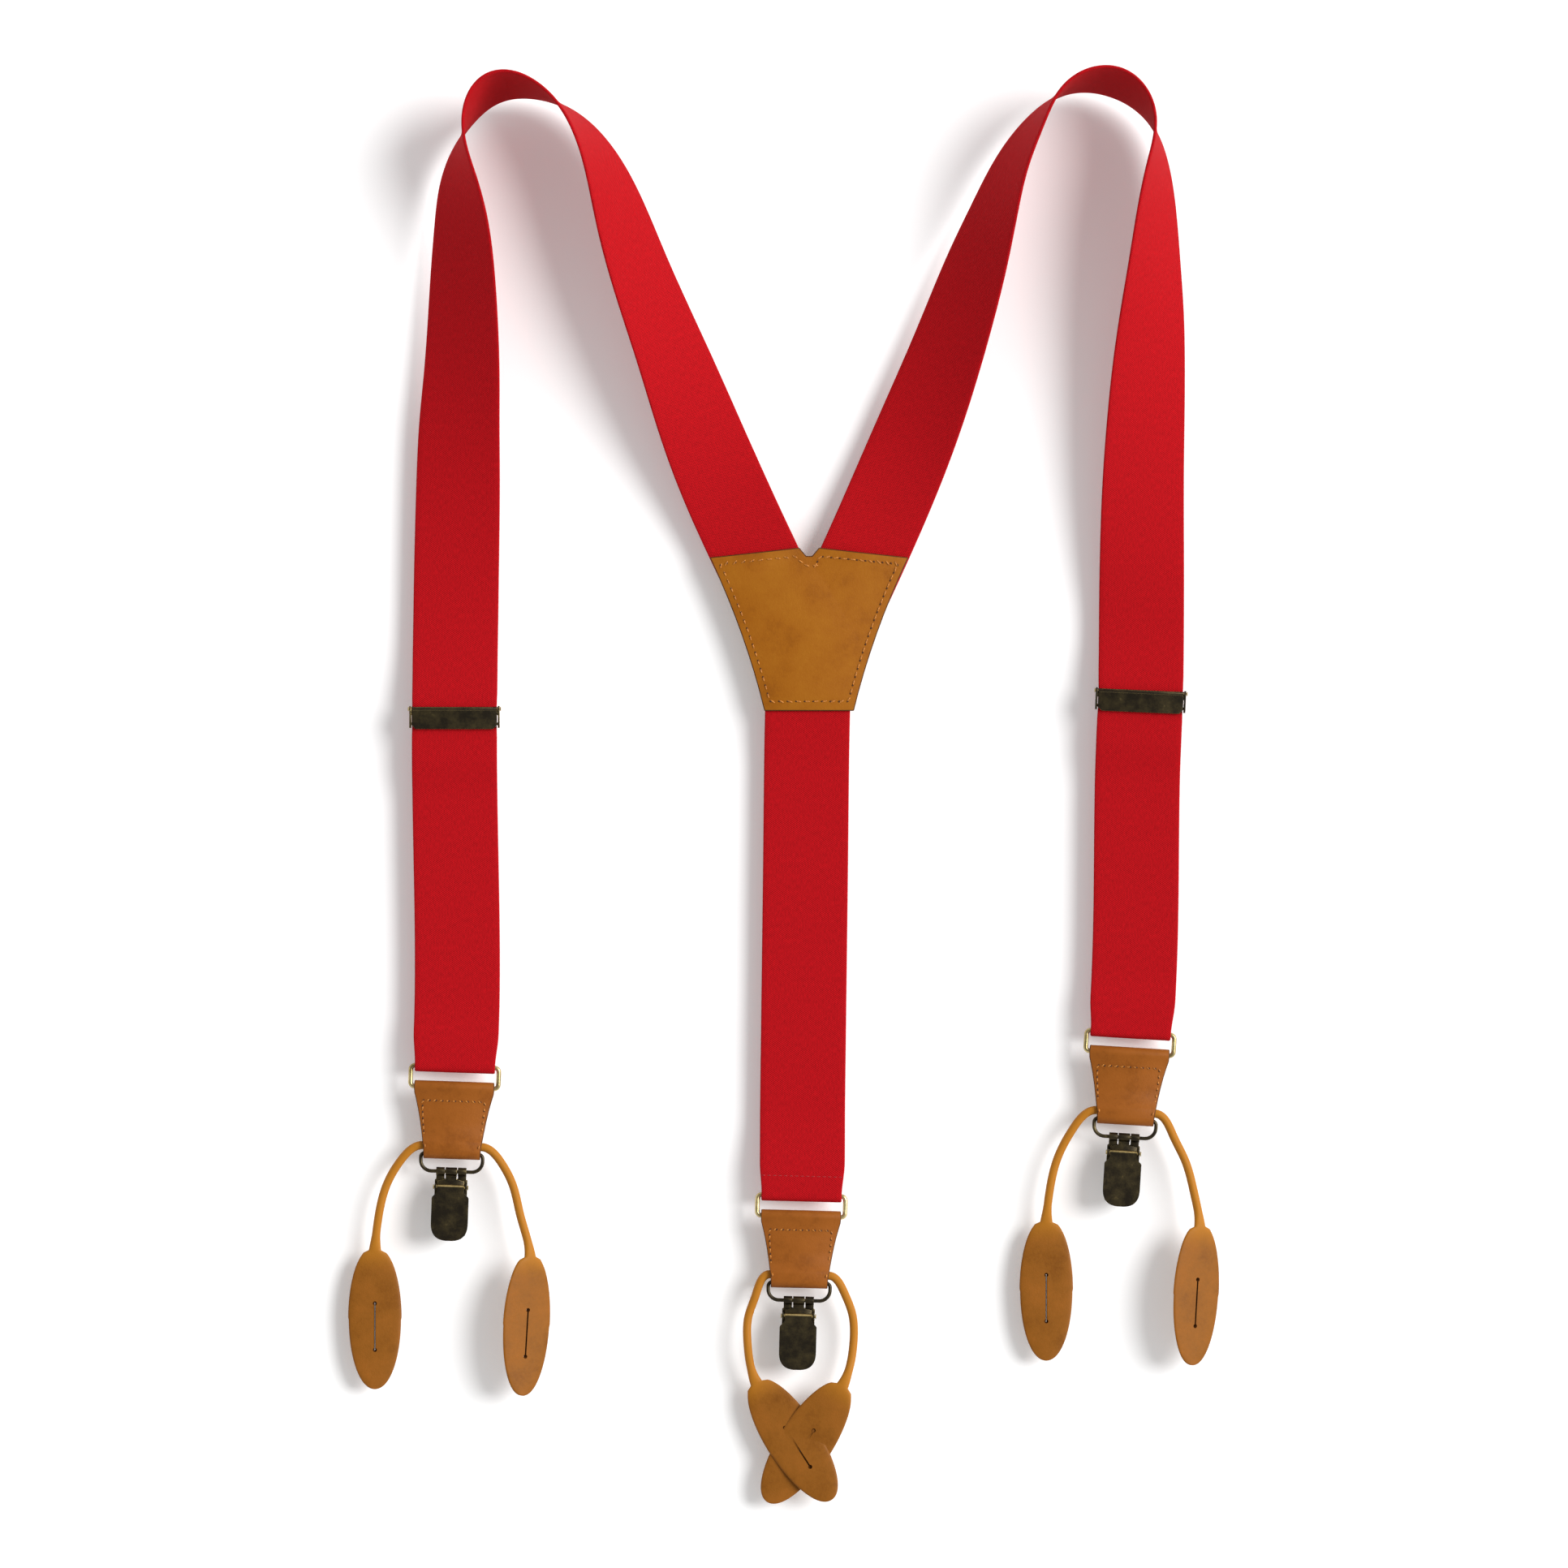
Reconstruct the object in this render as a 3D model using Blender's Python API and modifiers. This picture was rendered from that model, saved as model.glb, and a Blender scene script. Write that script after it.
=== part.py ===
"""Y-back suspenders with button thongs and fold-over trouser clips.

Elastic webbing runs from a leather back patch over both shoulders to a slide
adjuster and a ring on each front end; a third length runs down the back.
Each end carries a ring, a folded leather tab, a button thong and a clip.

Frame: metres, +X to the right as the suspenders lie, which is the wearer's
right shoulder, +Y towards the shoulder loops, +Z up from the table that they
lie on. The origin is the centre of the back patch's underside.
"""
import math

import bmesh
import bpy
import numpy as np
from mathutils import Matrix, Vector

MM = 0.001

# Webbing
WEBBING_WIDTH = 35.0
WEBBING_THICKNESS = 1.3
NECK_WIDTH = 33.0            # gathered width where the webbing folds round a ring
ADJUSTER_NECK = 34.6         # width between an adjuster's ears
TABLE_GAP = 0.05
CENTRE_OVER_TABLE = TABLE_GAP + WEBBING_THICKNESS / 2

# Back patch
PATCH_THICKNESS = 1.2
LAYER_GAP = 0.35
PATCH_TOP_HALF, PATCH_BOTTOM_HALF = 40.8, 18.4
PATCH_TOP_Y, PATCH_BOTTOM_Y = 31.0, -32.0
PATCH_PEAK_X, PATCH_PEAK_Y = 4.0, 35.0
PATCH_SIDE_SAG = 1.8
STRAP_IN_PATCH_Z = PATCH_THICKNESS + LAYER_GAP + WEBBING_THICKNESS / 2
PATCH_FRONT_Z = PATCH_THICKNESS + 2 * LAYER_GAP + WEBBING_THICKNESS
BACK_STRAP_TOP_Y = 1.0

# Ring
RING_WIDTH, RING_HEIGHT = 36.1, 8.6      # between wire centres
RING_WIRE = 0.95
RING_CORNER = 1.7
RING_Z = 2.6
FOLD_RADIUS = 1.85                       # webbing's middle layer round the ring

# Leather tab, measured down from the ring's lower bar
LEATHER = 1.3
TAB_EYE = 1.25
CHANNEL_RADIUS = 2.0
CHANNEL_Z = 0.75                         # channel axis above the ring's bars
THONG_AXIS_Y, BAIL_AXIS_Y = -24.1, -27.1
CHANNEL_TOP_Y, CHANNEL_BOTTOM_Y = -23.5, -26.1

# Bail and clip, measured down from the bail's lower bar
BAIL_WIDTH, BAIL_HEIGHT = 25.4, 7.4
BAIL_WIRE = 0.75
BAIL_CORNER = 1.8
BAIL_LOWER_CORNER = 4.4
KNUCKLE_OUTER, KNUCKLE_BORE = 1.75, 1.0
CLIP_SHEET = 0.75
BACK_PLATE_Z = -3.05
JAW_Z = -0.75
PAD_Z, PAD_THICKNESS = -1.85, 0.85
CLIP_PIN_Y, CLIP_PIN_Z = -6.4, 1.9
CLIP_PIN_RADIUS, CLIP_PIN_BORE = 0.55, 0.75
CLIP_SLEEVE = 1.1
LEVER_END_Y = -28.4
LEVER_RIM_Z, LEVER_CROWN_Z = 0.7, 2.7
LEVER_BORDER = 2.2

# Thong
CORD_RADIUS = 1.7
OVAL_LENGTH, OVAL_WIDTH, OVAL_THICKNESS = 58.0, 21.5, 1.6
SLIT_LENGTH, SLIT_WIDTH = 21.0, 1.4
SLIT_OFFSET = 3.3                        # slit centre below the oval's centre

# Slide adjuster, measured from its centre on the table
ADJUSTER_HALF = 17.5
ADJUSTER_EAR_IN, ADJUSTER_EAR_OUT = 17.8, 18.5
ADJUSTER_BAR_Y, ADJUSTER_BAR_Z, ADJUSTER_BAR = -2.6, 2.1, 0.6
ADJUSTER_PIN_Y, ADJUSTER_PIN_Z = 3.5, 6.6
ADJUSTER_PIN, ADJUSTER_BORE, ADJUSTER_SLEEVE = 0.42, 0.6, 0.85
STRAP_IN_ADJUSTER_Z = 4.95
HEM_RADIUS = 1.4
HEM_LENGTH = 11.5

# Where each end hangs: the ring's upper bar, and the end's turn about +Z
ENDS = {
    "left": {"bar": (-145.35, -178.0), "turn": -2.0},
    "right": {"bar": (132.0, -164.0), "turn": -3.5},
    "back": {"bar": (-3.1, -230.9), "turn": -1.5},
}
ADJUSTERS = {
    "left": {"centre": (-145.5, -34.7), "turn": 0.0},
    "right": {"centre": (136.0, -27.8), "turn": -2.5},
}

# Shoulder straps, patch to adjuster: x, y, roll in degrees, lift of the lower edge.
# Roll turns the inner edge of the loop up, so the webbing stands on its outer edge.
PATCH_LIFT = STRAP_IN_PATCH_Z - CENTRE_OVER_TABLE
ADJUSTER_LIFT = STRAP_IN_ADJUSTER_Z - CENTRE_OVER_TABLE
LEFT_ROUTE = [
    (-9.0, 3.0, 0, PATCH_LIFT), (-17, 21, 0, PATCH_LIFT), (-25, 38, 0, PATCH_LIFT),
    (-41.5, 75.5, 14, 0), (-56, 113.5, 33, 0), (-70.5, 151.5, 46, 0), (-77, 171, 53, 0),
    (-84, 190.5, 64, 0), (-94, 208, 78, 0), (-110, 221, 96, 0), (-129, 223, 108, 0),
    (-140.5, 208, 93, 0), (-143.5, 187, 66, 0), (-142.5, 167, 50, 0), (-142, 146, 40, 0),
    (-142, 126, 33, 0), (-142.5, 105.5, 26, 0), (-143.5, 85, 18, 0), (-144, 65, 11, 0),
    (-144.4, 44, 6, 0), (-144.8, 24, 2, 0), (-145.1, 4, 0, 0.2), (-145.3, -10, 0, 1.2),
    (-145.4, -24, 0, 3.6), (-145.5, -30, 0, ADJUSTER_LIFT), (-145.5, -34.2, 0, ADJUSTER_LIFT),
]
RIGHT_ROUTE = [
    (9.0, 3.0, 0, PATCH_LIFT), (17.5, 21, 0, PATCH_LIFT), (25.5, 38.5, 0, PATCH_LIFT),
    (41.5, 76, 12, 0), (56, 114, 30, 0), (69, 152.5, 46, 0), (75.5, 172, 57, 0),
    (82.5, 191, 67, 0), (92.5, 209, 78, 0), (106, 223, 95, 0), (126, 225, 107, 0),
    (140, 211, 94, 0), (142.8, 191, 74, 0), (142.3, 170.5, 61, 0), (141.5, 150, 51, 0),
    (140.5, 129.5, 40, 0), (139.3, 109.5, 31, 0), (138.2, 89, 24, 0), (137.3, 68.5, 18, 0),
    (136.8, 48, 12, 0), (136.6, 27.5, 6, 0), (136.5, 10, 1, 0.3), (136.4, -4, 0, 1.4),
    (136.2, -17, 0, 3.6), (136.1, -23, 0, ADJUSTER_LIFT), (136.0, -26.9, 0, ADJUSTER_LIFT),
]

# Thongs: each side's cord leaves the tab's channel and ends in an oval.
# A point is x, y, height of the cord's axis; an oval is its centre, its long
# axis's turn from straight down, its roll about that axis, and its pitch.
CORD_ON_TABLE = CORD_RADIUS + TABLE_GAP
THONGS = {
    "left": [
        {"cord": [(-168, -217, 2.6), (-174, -228, CORD_ON_TABLE), (-177, -241, CORD_ON_TABLE),
                  (-178, -254, CORD_ON_TABLE), (-178.2, -264, CORD_ON_TABLE)],
         "oval": (-178.3, -281.5, 0.85), "turn": 0, "roll": 0, "pitch": 0},
        {"cord": [(-126, -218, 3.0), (-121.5, -227, 3.4), (-118.5, -239, 4.6),
                  (-116, -252, 6.0), (-115.2, -266, 6.6)],
         "oval": (-116.0, -284.0, 6.1), "turn": -3.4, "roll": 30, "pitch": 0},
    ],
    "right": [
        {"cord": [(108, -204, 2.6), (101.5, -217, CORD_ON_TABLE), (98.6, -230, CORD_ON_TABLE),
                  (97.5, -243, CORD_ON_TABLE), (97.4, -253, CORD_ON_TABLE)],
         "oval": (97.4, -269.8, 0.85), "turn": 0, "roll": 0, "pitch": 0},
        {"cord": [(149.5, -206.5, 3.0), (154.5, -217, 3.4), (158, -230, 4.6),
                  (159.8, -241, 6.0), (160.0, -254, 6.6)],
         "oval": (158.7, -271.5, 6.1), "turn": -3.3, "roll": 30, "pitch": 0},
    ],
    "back": [
        {"cord": [(-22, -272, 2.8), (-25, -281, 2.2), (-25.3, -291, 3.2),
                  (-23, -303, 4.4), (-17.5, -314, 4.4)],
         "oval": (-6.5, -331.5, 2.7), "turn": 33, "roll": 0, "pitch": -3.6},
        {"cord": [(14.5, -271, 2.8), (17.8, -280, 2.2), (18.3, -290, CORD_ON_TABLE),
                  (16.5, -302, CORD_ON_TABLE), (11.5, -313, CORD_ON_TABLE)],
         "oval": (-1.5, -332.5, 2.7), "turn": -33, "roll": 0, "pitch": 3.6},
    ],
}

for old in list(bpy.data.objects):
    bpy.data.objects.remove(old, do_unlink=True)

parts = bpy.data.collections.new("suspenders")
cutters = bpy.data.collections.new("cutters")
bpy.context.scene.collection.children.link(parts)
bpy.context.scene.collection.children.link(cutters)


# Materials

def material(name, colour, roughness, metallic):
    """A Principled finish from a linear colour, a roughness and a metallic value."""
    finish = bpy.data.materials.new(name)
    finish.use_nodes = True
    shader = finish.node_tree.nodes["Principled BSDF"]
    shader.inputs["Base Color"].default_value = (*colour, 1.0)
    shader.inputs["Roughness"].default_value = roughness
    shader.inputs["Metallic"].default_value = metallic
    finish.diffuse_color = (*colour, 1.0)
    return finish


WEBBING = ("webbing", (0.58, 0.01, 0.015), 0.8, 0.0)
PATCH_LEATHER = ("patch_leather", (0.42, 0.14, 0.015), 0.5, 0.0)
TAB_LEATHER = ("tab_leather", (0.38, 0.12, 0.02), 0.5, 0.0)
THONG_LEATHER = ("thong_leather", (0.45, 0.17, 0.03), 0.5, 0.0)
RING_BRASS = ("ring_brass", (0.35, 0.27, 0.12), 0.35, 1.0)
ANTIQUE_BRASS = ("antique_brass", (0.09, 0.07, 0.04), 0.4, 1.0)
NYLON = ("nylon", (0.8, 0.78, 0.7), 0.5, 0.0)


def add(name, mesh, finish, place=Matrix()):
    """Put a finished mesh in the scene as one named part at its place."""
    part = bpy.data.objects.new(name, mesh)
    part.matrix_world = place
    mesh.materials.clear()
    mesh.materials.append(material(f"{name}_{finish[0]}", *finish[1:]))
    parts.objects.link(part)
    return part


# Solids, in millimetres until they are placed

def scaled(mesh):
    mesh.transform(Matrix.Scale(MM, 4))
    return mesh


def mesh_of(thing):
    """The evaluated mesh of an object, with its doubles welded; the object is removed."""
    bpy.context.view_layer.update()
    graph = bpy.context.evaluated_depsgraph_get()
    mesh = bpy.data.meshes.new_from_object(thing.evaluated_get(graph))
    mesh.transform(thing.matrix_world)
    bpy.data.objects.remove(thing, do_unlink=True)
    work = bmesh.new()
    work.from_mesh(mesh)
    bmesh.ops.remove_doubles(work, verts=work.verts, dist=0.0005)
    bmesh.ops.recalc_face_normals(work, faces=work.faces)
    work.to_mesh(mesh)
    work.free()
    return mesh


def outline_solid(outlines, low, high):
    """A flat outline, with any inner outlines left open, from one height to another."""
    curve = bpy.data.curves.new("outline", "CURVE")
    curve.dimensions = "2D"
    curve.fill_mode = "BOTH"
    curve.extrude = (high - low) / 2
    for outline in outlines:
        spline = curve.splines.new("POLY")
        spline.points.add(len(outline) - 1)
        for point, (x, y) in zip(spline.points, outline):
            point.co = (x, y, 0, 1)
        spline.use_cyclic_u = True
    thing = bpy.data.objects.new("outline", curve)
    cutters.objects.link(thing)
    thing.location.z = (low + high) / 2
    return mesh_of(thing)


def tube(points, radius, closed=False, resolution=2):
    """A round wire or cord through the points."""
    curve = bpy.data.curves.new("tube", "CURVE")
    curve.dimensions = "3D"
    curve.bevel_depth = radius
    curve.bevel_resolution = resolution
    curve.use_fill_caps = not closed
    spline = curve.splines.new("POLY")
    spline.points.add(len(points) - 1)
    for point, co in zip(spline.points, points):
        point.co = (*co, 1)
    spline.use_cyclic_u = closed
    thing = bpy.data.objects.new("tube", curve)
    cutters.objects.link(thing)
    return mesh_of(thing)


def box(x, y, z):
    """A box from three (low, high) pairs."""
    work = bmesh.new()
    size = [high - low for low, high in (x, y, z)]
    middle = [(low + high) / 2 for low, high in (x, y, z)]
    bmesh.ops.create_cube(work, size=1, matrix=Matrix.LocRotScale(Vector(middle), None, Vector(size)))
    mesh = bpy.data.meshes.new("box")
    work.to_mesh(mesh)
    work.free()
    return mesh


def rod(x_low, x_high, y, z, radius, sides=16):
    """A round rod along X."""
    work = bmesh.new()
    turn = Matrix.Translation(((x_low + x_high) / 2, y, z)) @ Matrix.Rotation(math.pi / 2, 4, "Y")
    bmesh.ops.create_cone(work, cap_ends=True, segments=sides, radius1=radius, radius2=radius,
                          depth=x_high - x_low, matrix=turn)
    mesh = bpy.data.meshes.new("rod")
    work.to_mesh(mesh)
    work.free()
    return mesh


def combined(base, others, operation):
    """Join, cut or intersect a mesh with others, one Boolean each."""
    body = bpy.data.objects.new("body", base)
    cutters.objects.link(body)
    tools = []
    for mesh in others:
        tool = bpy.data.objects.new("tool", mesh)
        tool.hide_render = True
        tool.display_type = "WIRE"
        cutters.objects.link(tool)
        tools.append(tool)
        cut = body.modifiers.new("combine", "BOOLEAN")
        cut.solver = "EXACT"
        cut.operation = operation
        cut.object = tool
    result = mesh_of(body)
    for tool in tools:
        bpy.data.objects.remove(tool, do_unlink=True)
    return result


def arc(centre, radius, start, end, steps):
    """Points round part of a circle, angles in degrees."""
    angles = np.radians(np.linspace(start, end, steps))
    return [(centre[0] + radius * math.cos(a), centre[1] + radius * math.sin(a)) for a in angles]


def mirrored(right_side):
    """A symmetric outline from its +X side, listed from top to bottom."""
    return right_side + [(-x, y) for x, y in reversed(right_side)]


def wire_loop(width, height, corner, wire, lower_corner=None):
    """A rectangular wire loop whose upper bar's axis runs through the origin."""
    low = lower_corner or corner
    corners = ((width / 2 - corner, -corner, corner), (corner - width / 2, -corner, corner),
               (low - width / 2, low - height, low), (width / 2 - low, low - height, low))
    points = []
    for quarter, (x, y, radius) in enumerate(corners):
        points += [(px, py, 0) for px, py in arc((x, y), radius, 90 * quarter, 90 * quarter + 90, 5)]
    return tube(points, wire, closed=True)


def smooth(stations, spacing):
    """Evenly spaced rows along a natural cubic spline through the stations."""
    rows = np.array(stations, dtype=float)
    steps = np.linalg.norm(np.diff(rows[:, :3], axis=0), axis=1)
    steps = np.maximum(steps, 1e-6)
    at = np.concatenate(([0.0], np.cumsum(steps)))
    count = len(rows)
    system = np.eye(count)
    right = np.zeros_like(rows)
    for i in range(1, count - 1):
        before, after = at[i] - at[i - 1], at[i + 1] - at[i]
        system[i, i - 1:i + 2] = before, 2 * (before + after), after
        right[i] = 6 * ((rows[i + 1] - rows[i]) / after - (rows[i] - rows[i - 1]) / before)
    bend = np.linalg.solve(system, right)
    samples = np.linspace(0, at[-1], max(2, round(at[-1] / spacing) + 1))
    result = []
    for s in samples:
        i = min(max(int(np.searchsorted(at, s)) - 1, 0), count - 2)
        gap = at[i + 1] - at[i]
        a, b = (at[i + 1] - s) / gap, (s - at[i]) / gap
        result.append(a * rows[i] + b * rows[i + 1]
                      + ((a ** 3 - a) * bend[i] + (b ** 3 - b) * bend[i + 1]) * gap * gap / 6)
    return np.array(result)


def band(name, centres, across, half_widths):
    """Webbing: an open strip along the centres, given its thickness by Solidify."""
    work = bmesh.new()
    rows = []
    for centre, side, half in zip(centres, across, half_widths):
        rows.append([work.verts.new(Vector(centre) + Vector(side) * half * k) for k in (-1, 0, 1)])
    for first, second in zip(rows, rows[1:]):
        for k in (0, 1):
            work.faces.new((first[k], second[k], second[k + 1], first[k + 1]))
    mesh = bpy.data.meshes.new(name)
    work.to_mesh(mesh)
    work.free()
    strap = add(name, scaled(mesh), WEBBING)
    shell = strap.modifiers.new("thickness", "SOLIDIFY")
    shell.thickness = WEBBING_THICKNESS * MM
    shell.offset = 0
    return strap


def directions(points):
    """Unit travel directions in plan."""
    travel = np.gradient(points[:, :2], axis=0)
    return travel / np.linalg.norm(travel, axis=1)[:, None]


def end_place(end, y=0.0, z=0.0):
    """The placing matrix at a point down one end, from the ring's upper bar."""
    data = ENDS[end]
    base = Matrix.Translation((data["bar"][0] * MM, data["bar"][1] * MM, RING_Z * MM))
    return base @ Matrix.Rotation(math.radians(data["turn"]), 4, "Z") @ Matrix.Translation((0, y * MM, z * MM))


# Shoulder straps

def shoulder_strap(side, route):
    """Webbing from the patch over the shoulder loop to the adjuster."""
    lean = 1 if side == "left" else -1
    rows = smooth([(x, y, 0, roll, lift) for x, y, roll, lift in route], 7.0)
    centres, across, halves = [], [], []
    for (x, y, _, roll, lift), (tx, ty) in zip(rows, directions(rows)):
        turn = math.radians(roll)
        across.append((-ty * math.cos(turn), tx * math.cos(turn), lean * math.sin(turn)))
        height = (WEBBING_WIDTH / 2 * abs(math.sin(turn))
                  + WEBBING_THICKNESS / 2 * abs(math.cos(turn)) + TABLE_GAP + max(lift, 0))
        centres.append((x, y, height))
        halves.append(WEBBING_WIDTH / 2)
    halves[-2:] = [ADJUSTER_NECK / 2] * 2
    return band(f"{side}_strap", centres, across, halves)


def trimmed_in_patch(strap, side):
    """Cut a strap's end at the patch's middle line and above the back strap's end."""
    middle = (-0.2, 60.0) if side > 0 else (-60.0, 0.2)
    for x in (middle, (-60.0, 60.0)):
        top = 36.0 if x is middle else BACK_STRAP_TOP_Y + 0.6
        tool = bpy.data.objects.new("patch_trim", scaled(box(x, (-60.0, top), (-1.0, 6.0))))
        tool.hide_render = True
        tool.display_type = "WIRE"
        cutters.objects.link(tool)
        cut = strap.modifiers.new("patch_trim", "BOOLEAN")
        cut.solver = "EXACT"
        cut.operation = "DIFFERENCE"
        cut.object = tool


trimmed_in_patch(shoulder_strap("left", LEFT_ROUTE), 1)
trimmed_in_patch(shoulder_strap("right", RIGHT_ROUTE), -1)


def layer_height(distance, total):
    """Height of the upper layer between adjuster and ring, by distance from the adjuster."""
    resting = CENTRE_OVER_TABLE + WEBBING_THICKNESS + 0.45
    over_ring = RING_Z + FOLD_RADIUS
    hem_end = 15.0
    ease = 18.0
    down = min(max((distance - hem_end) / ease, 0), 1)
    up = min(max((distance - (total - ease - 8)) / ease, 0), 1)
    down = down * down * (3 - 2 * down)
    up = up * up * (3 - 2 * up)
    return STRAP_IN_ADJUSTER_Z + (resting - STRAP_IN_ADJUSTER_Z) * down + (over_ring - resting) * up


def fold_round(bar, down, z, radius, start, end, steps):
    """Centre points of webbing folded round a bar, from above to below or back."""
    angles = np.radians(np.linspace(start, end, steps))
    return [(bar[0] + down[0] * radius * math.cos(a), bar[1] + down[1] * radius * math.cos(a),
             z + radius * math.sin(a)) for a in angles]


def strap_loop(end):
    """The doubled webbing: adjuster, down over the ring's bar, back up to the adjuster's bar."""
    adjuster, hanging = ADJUSTERS[end], ENDS[end]
    turn = math.radians(hanging["turn"])
    down = (math.sin(turn), -math.cos(turn))
    tilt = math.radians(adjuster["turn"])
    start_down = (math.sin(tilt), -math.cos(tilt))
    start = np.array(adjuster["centre"]) + 0.2 * np.array(start_down)
    bar = np.array(hanging["bar"])
    plan = [tuple(start), tuple(start + 20 * np.array(start_down)),
            tuple(bar - 20 * np.array(down)), tuple(bar)]
    rows = smooth([(x, y, 0) for x, y in plan], 6.0)
    reach = np.concatenate(([0.0], np.cumsum(np.linalg.norm(np.diff(rows, axis=0), axis=1))))
    total = reach[-1]
    travel = directions(rows)
    centres, across, halves = [], [], []
    for (x, y, _), (tx, ty), distance in zip(rows, travel, reach):
        centres.append((x, y, layer_height(distance, total)))
        across.append((-ty, tx, 0))
        halves.append(narrowed(distance, total))
    for point in fold_round(bar, down, RING_Z, FOLD_RADIUS, 75, -75, 7):
        centres.append(point)
        across.append((-down[1], down[0], 0))
        halves.append(NECK_WIDTH / 2)
    for (x, y, _), (tx, ty), distance in reversed(list(zip(rows, travel, reach))):
        if distance > -ADJUSTER_BAR_Y + 1:
            centres.append((x, y, RING_Z - FOLD_RADIUS))
            across.append((-ty, tx, 0))
            halves.append(narrowed(distance, total) - 0.3)
    hem_bar = np.array(adjuster["centre"]) - ADJUSTER_BAR_Y * np.array(start_down)
    up = (-start_down[0], -start_down[1])
    for point in fold_round(hem_bar, up, ADJUSTER_BAR_Z, HEM_RADIUS, -90, 90, 7):
        centres.append(point)
        across.append((-start_down[1], start_down[0], 0))
        halves.append(ADJUSTER_NECK / 2 - 0.3)
    hem_end = hem_bar + HEM_LENGTH * np.array(start_down)
    centres.append((hem_end[0], hem_end[1], ADJUSTER_BAR_Z + HEM_RADIUS))
    across.append((-start_down[1], start_down[0], 0))
    halves.append(ADJUSTER_NECK / 2 - 0.3)
    return band(f"{end}_strap_loop", centres, across, halves)


def narrowed(distance, total):
    """Half-width of the webbing, gathered in the last stretch before the ring."""
    share = min(max((distance - (total - 14)) / 14, 0), 1)
    near = min(distance / 8, 1)
    full = ADJUSTER_NECK / 2 + (WEBBING_WIDTH - ADJUSTER_NECK) / 2 * near
    return full + (NECK_WIDTH / 2 - full) * share * share * (3 - 2 * share)


strap_loop("left")
strap_loop("right")


def back_strap():
    """The single back length: from the patch down to its ring, with a sewn hem below."""
    hanging = ENDS["back"]
    turn = math.radians(hanging["turn"])
    down = (math.sin(turn), -math.cos(turn))
    bar = np.array(hanging["bar"])
    flat = CENTRE_OVER_TABLE
    rows = smooth([(0, BACK_STRAP_TOP_Y, STRAP_IN_PATCH_Z), (-0.3, -18, STRAP_IN_PATCH_Z),
                   (-0.7, -35, STRAP_IN_PATCH_Z), (-1.0, -52, flat), (-1.4, -90, flat),
                   (-2.0, -140, flat), (-2.5, -180, flat), (-2.7, -200, flat + 0.4),
                   (bar[0] - 10 * down[0], bar[1] - 10 * down[1], RING_Z + FOLD_RADIUS),
                   (bar[0], bar[1], RING_Z + FOLD_RADIUS)], 6.0)
    rows[:, 2] = np.maximum(rows[:, 2], flat)
    reach = np.concatenate(([0.0], np.cumsum(np.linalg.norm(np.diff(rows, axis=0), axis=1))))
    centres, across, halves = [], [], []
    for (x, y, z), (tx, ty), distance in zip(rows, directions(rows), reach):
        centres.append((x, y, z))
        across.append((-ty, tx, 0))
        halves.append(narrowed(distance + 8, reach[-1] + 8))
    for point in fold_round(bar, down, RING_Z, FOLD_RADIUS, 75, -90, 8):
        centres.append(point)
        across.append((-down[1], down[0], 0))
        halves.append(NECK_WIDTH / 2)
    hem_length = 9.0
    centres.append((bar[0] - hem_length * down[0], bar[1] - hem_length * down[1], RING_Z - FOLD_RADIUS))
    across.append((-down[1], down[0], 0))
    halves.append(NECK_WIDTH / 2)
    return band("back_strap", centres, across, halves)


back_strap()


# Back patch: two leather shields with the three webbing ends between them

def patch_outline():
    """The shield outline: a notched top edge, hollow sides and a square foot."""
    steps = np.linspace(0, 1, 9)
    side = [(PATCH_TOP_HALF + (PATCH_BOTTOM_HALF - PATCH_TOP_HALF) * t - 4 * PATCH_SIDE_SAG * t * (1 - t),
             PATCH_TOP_Y + (PATCH_BOTTOM_Y - PATCH_TOP_Y) * t) for t in steps]
    notch = [(1.2, PATCH_TOP_Y + 0.6), (PATCH_PEAK_X, PATCH_PEAK_Y)]
    return mirrored(notch + side)


for layer, low in (("patch_back", 0.0), ("patch_front", PATCH_FRONT_Z)):
    add(layer, scaled(outline_solid([patch_outline()], low, low + PATCH_THICKNESS)), PATCH_LEATHER)


# Slide adjusters

def adjuster_frame():
    """Two ears joined by the sewn-on bar below the webbing and a flat anvil bar."""
    ear_y, ear_z = (-4.3, 4.7), (1.0, ADJUSTER_PIN_Z + 0.9)
    ears = [box((ADJUSTER_EAR_IN, ADJUSTER_EAR_OUT), ear_y, ear_z),
            box((-ADJUSTER_EAR_OUT, -ADJUSTER_EAR_IN), ear_y, ear_z)]
    bar = rod(-18.1, 18.1, ADJUSTER_BAR_Y, ADJUSTER_BAR_Z, ADJUSTER_BAR)
    anvil = box((-18.1, 18.1), (0.9, 4.3), (3.1, 3.9))
    frame = combined(bar, ears + [anvil], "UNION")
    return combined(frame, [rod(-20, 20, ADJUSTER_PIN_Y, ADJUSTER_PIN_Z, ADJUSTER_BORE)], "DIFFERENCE")


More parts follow.
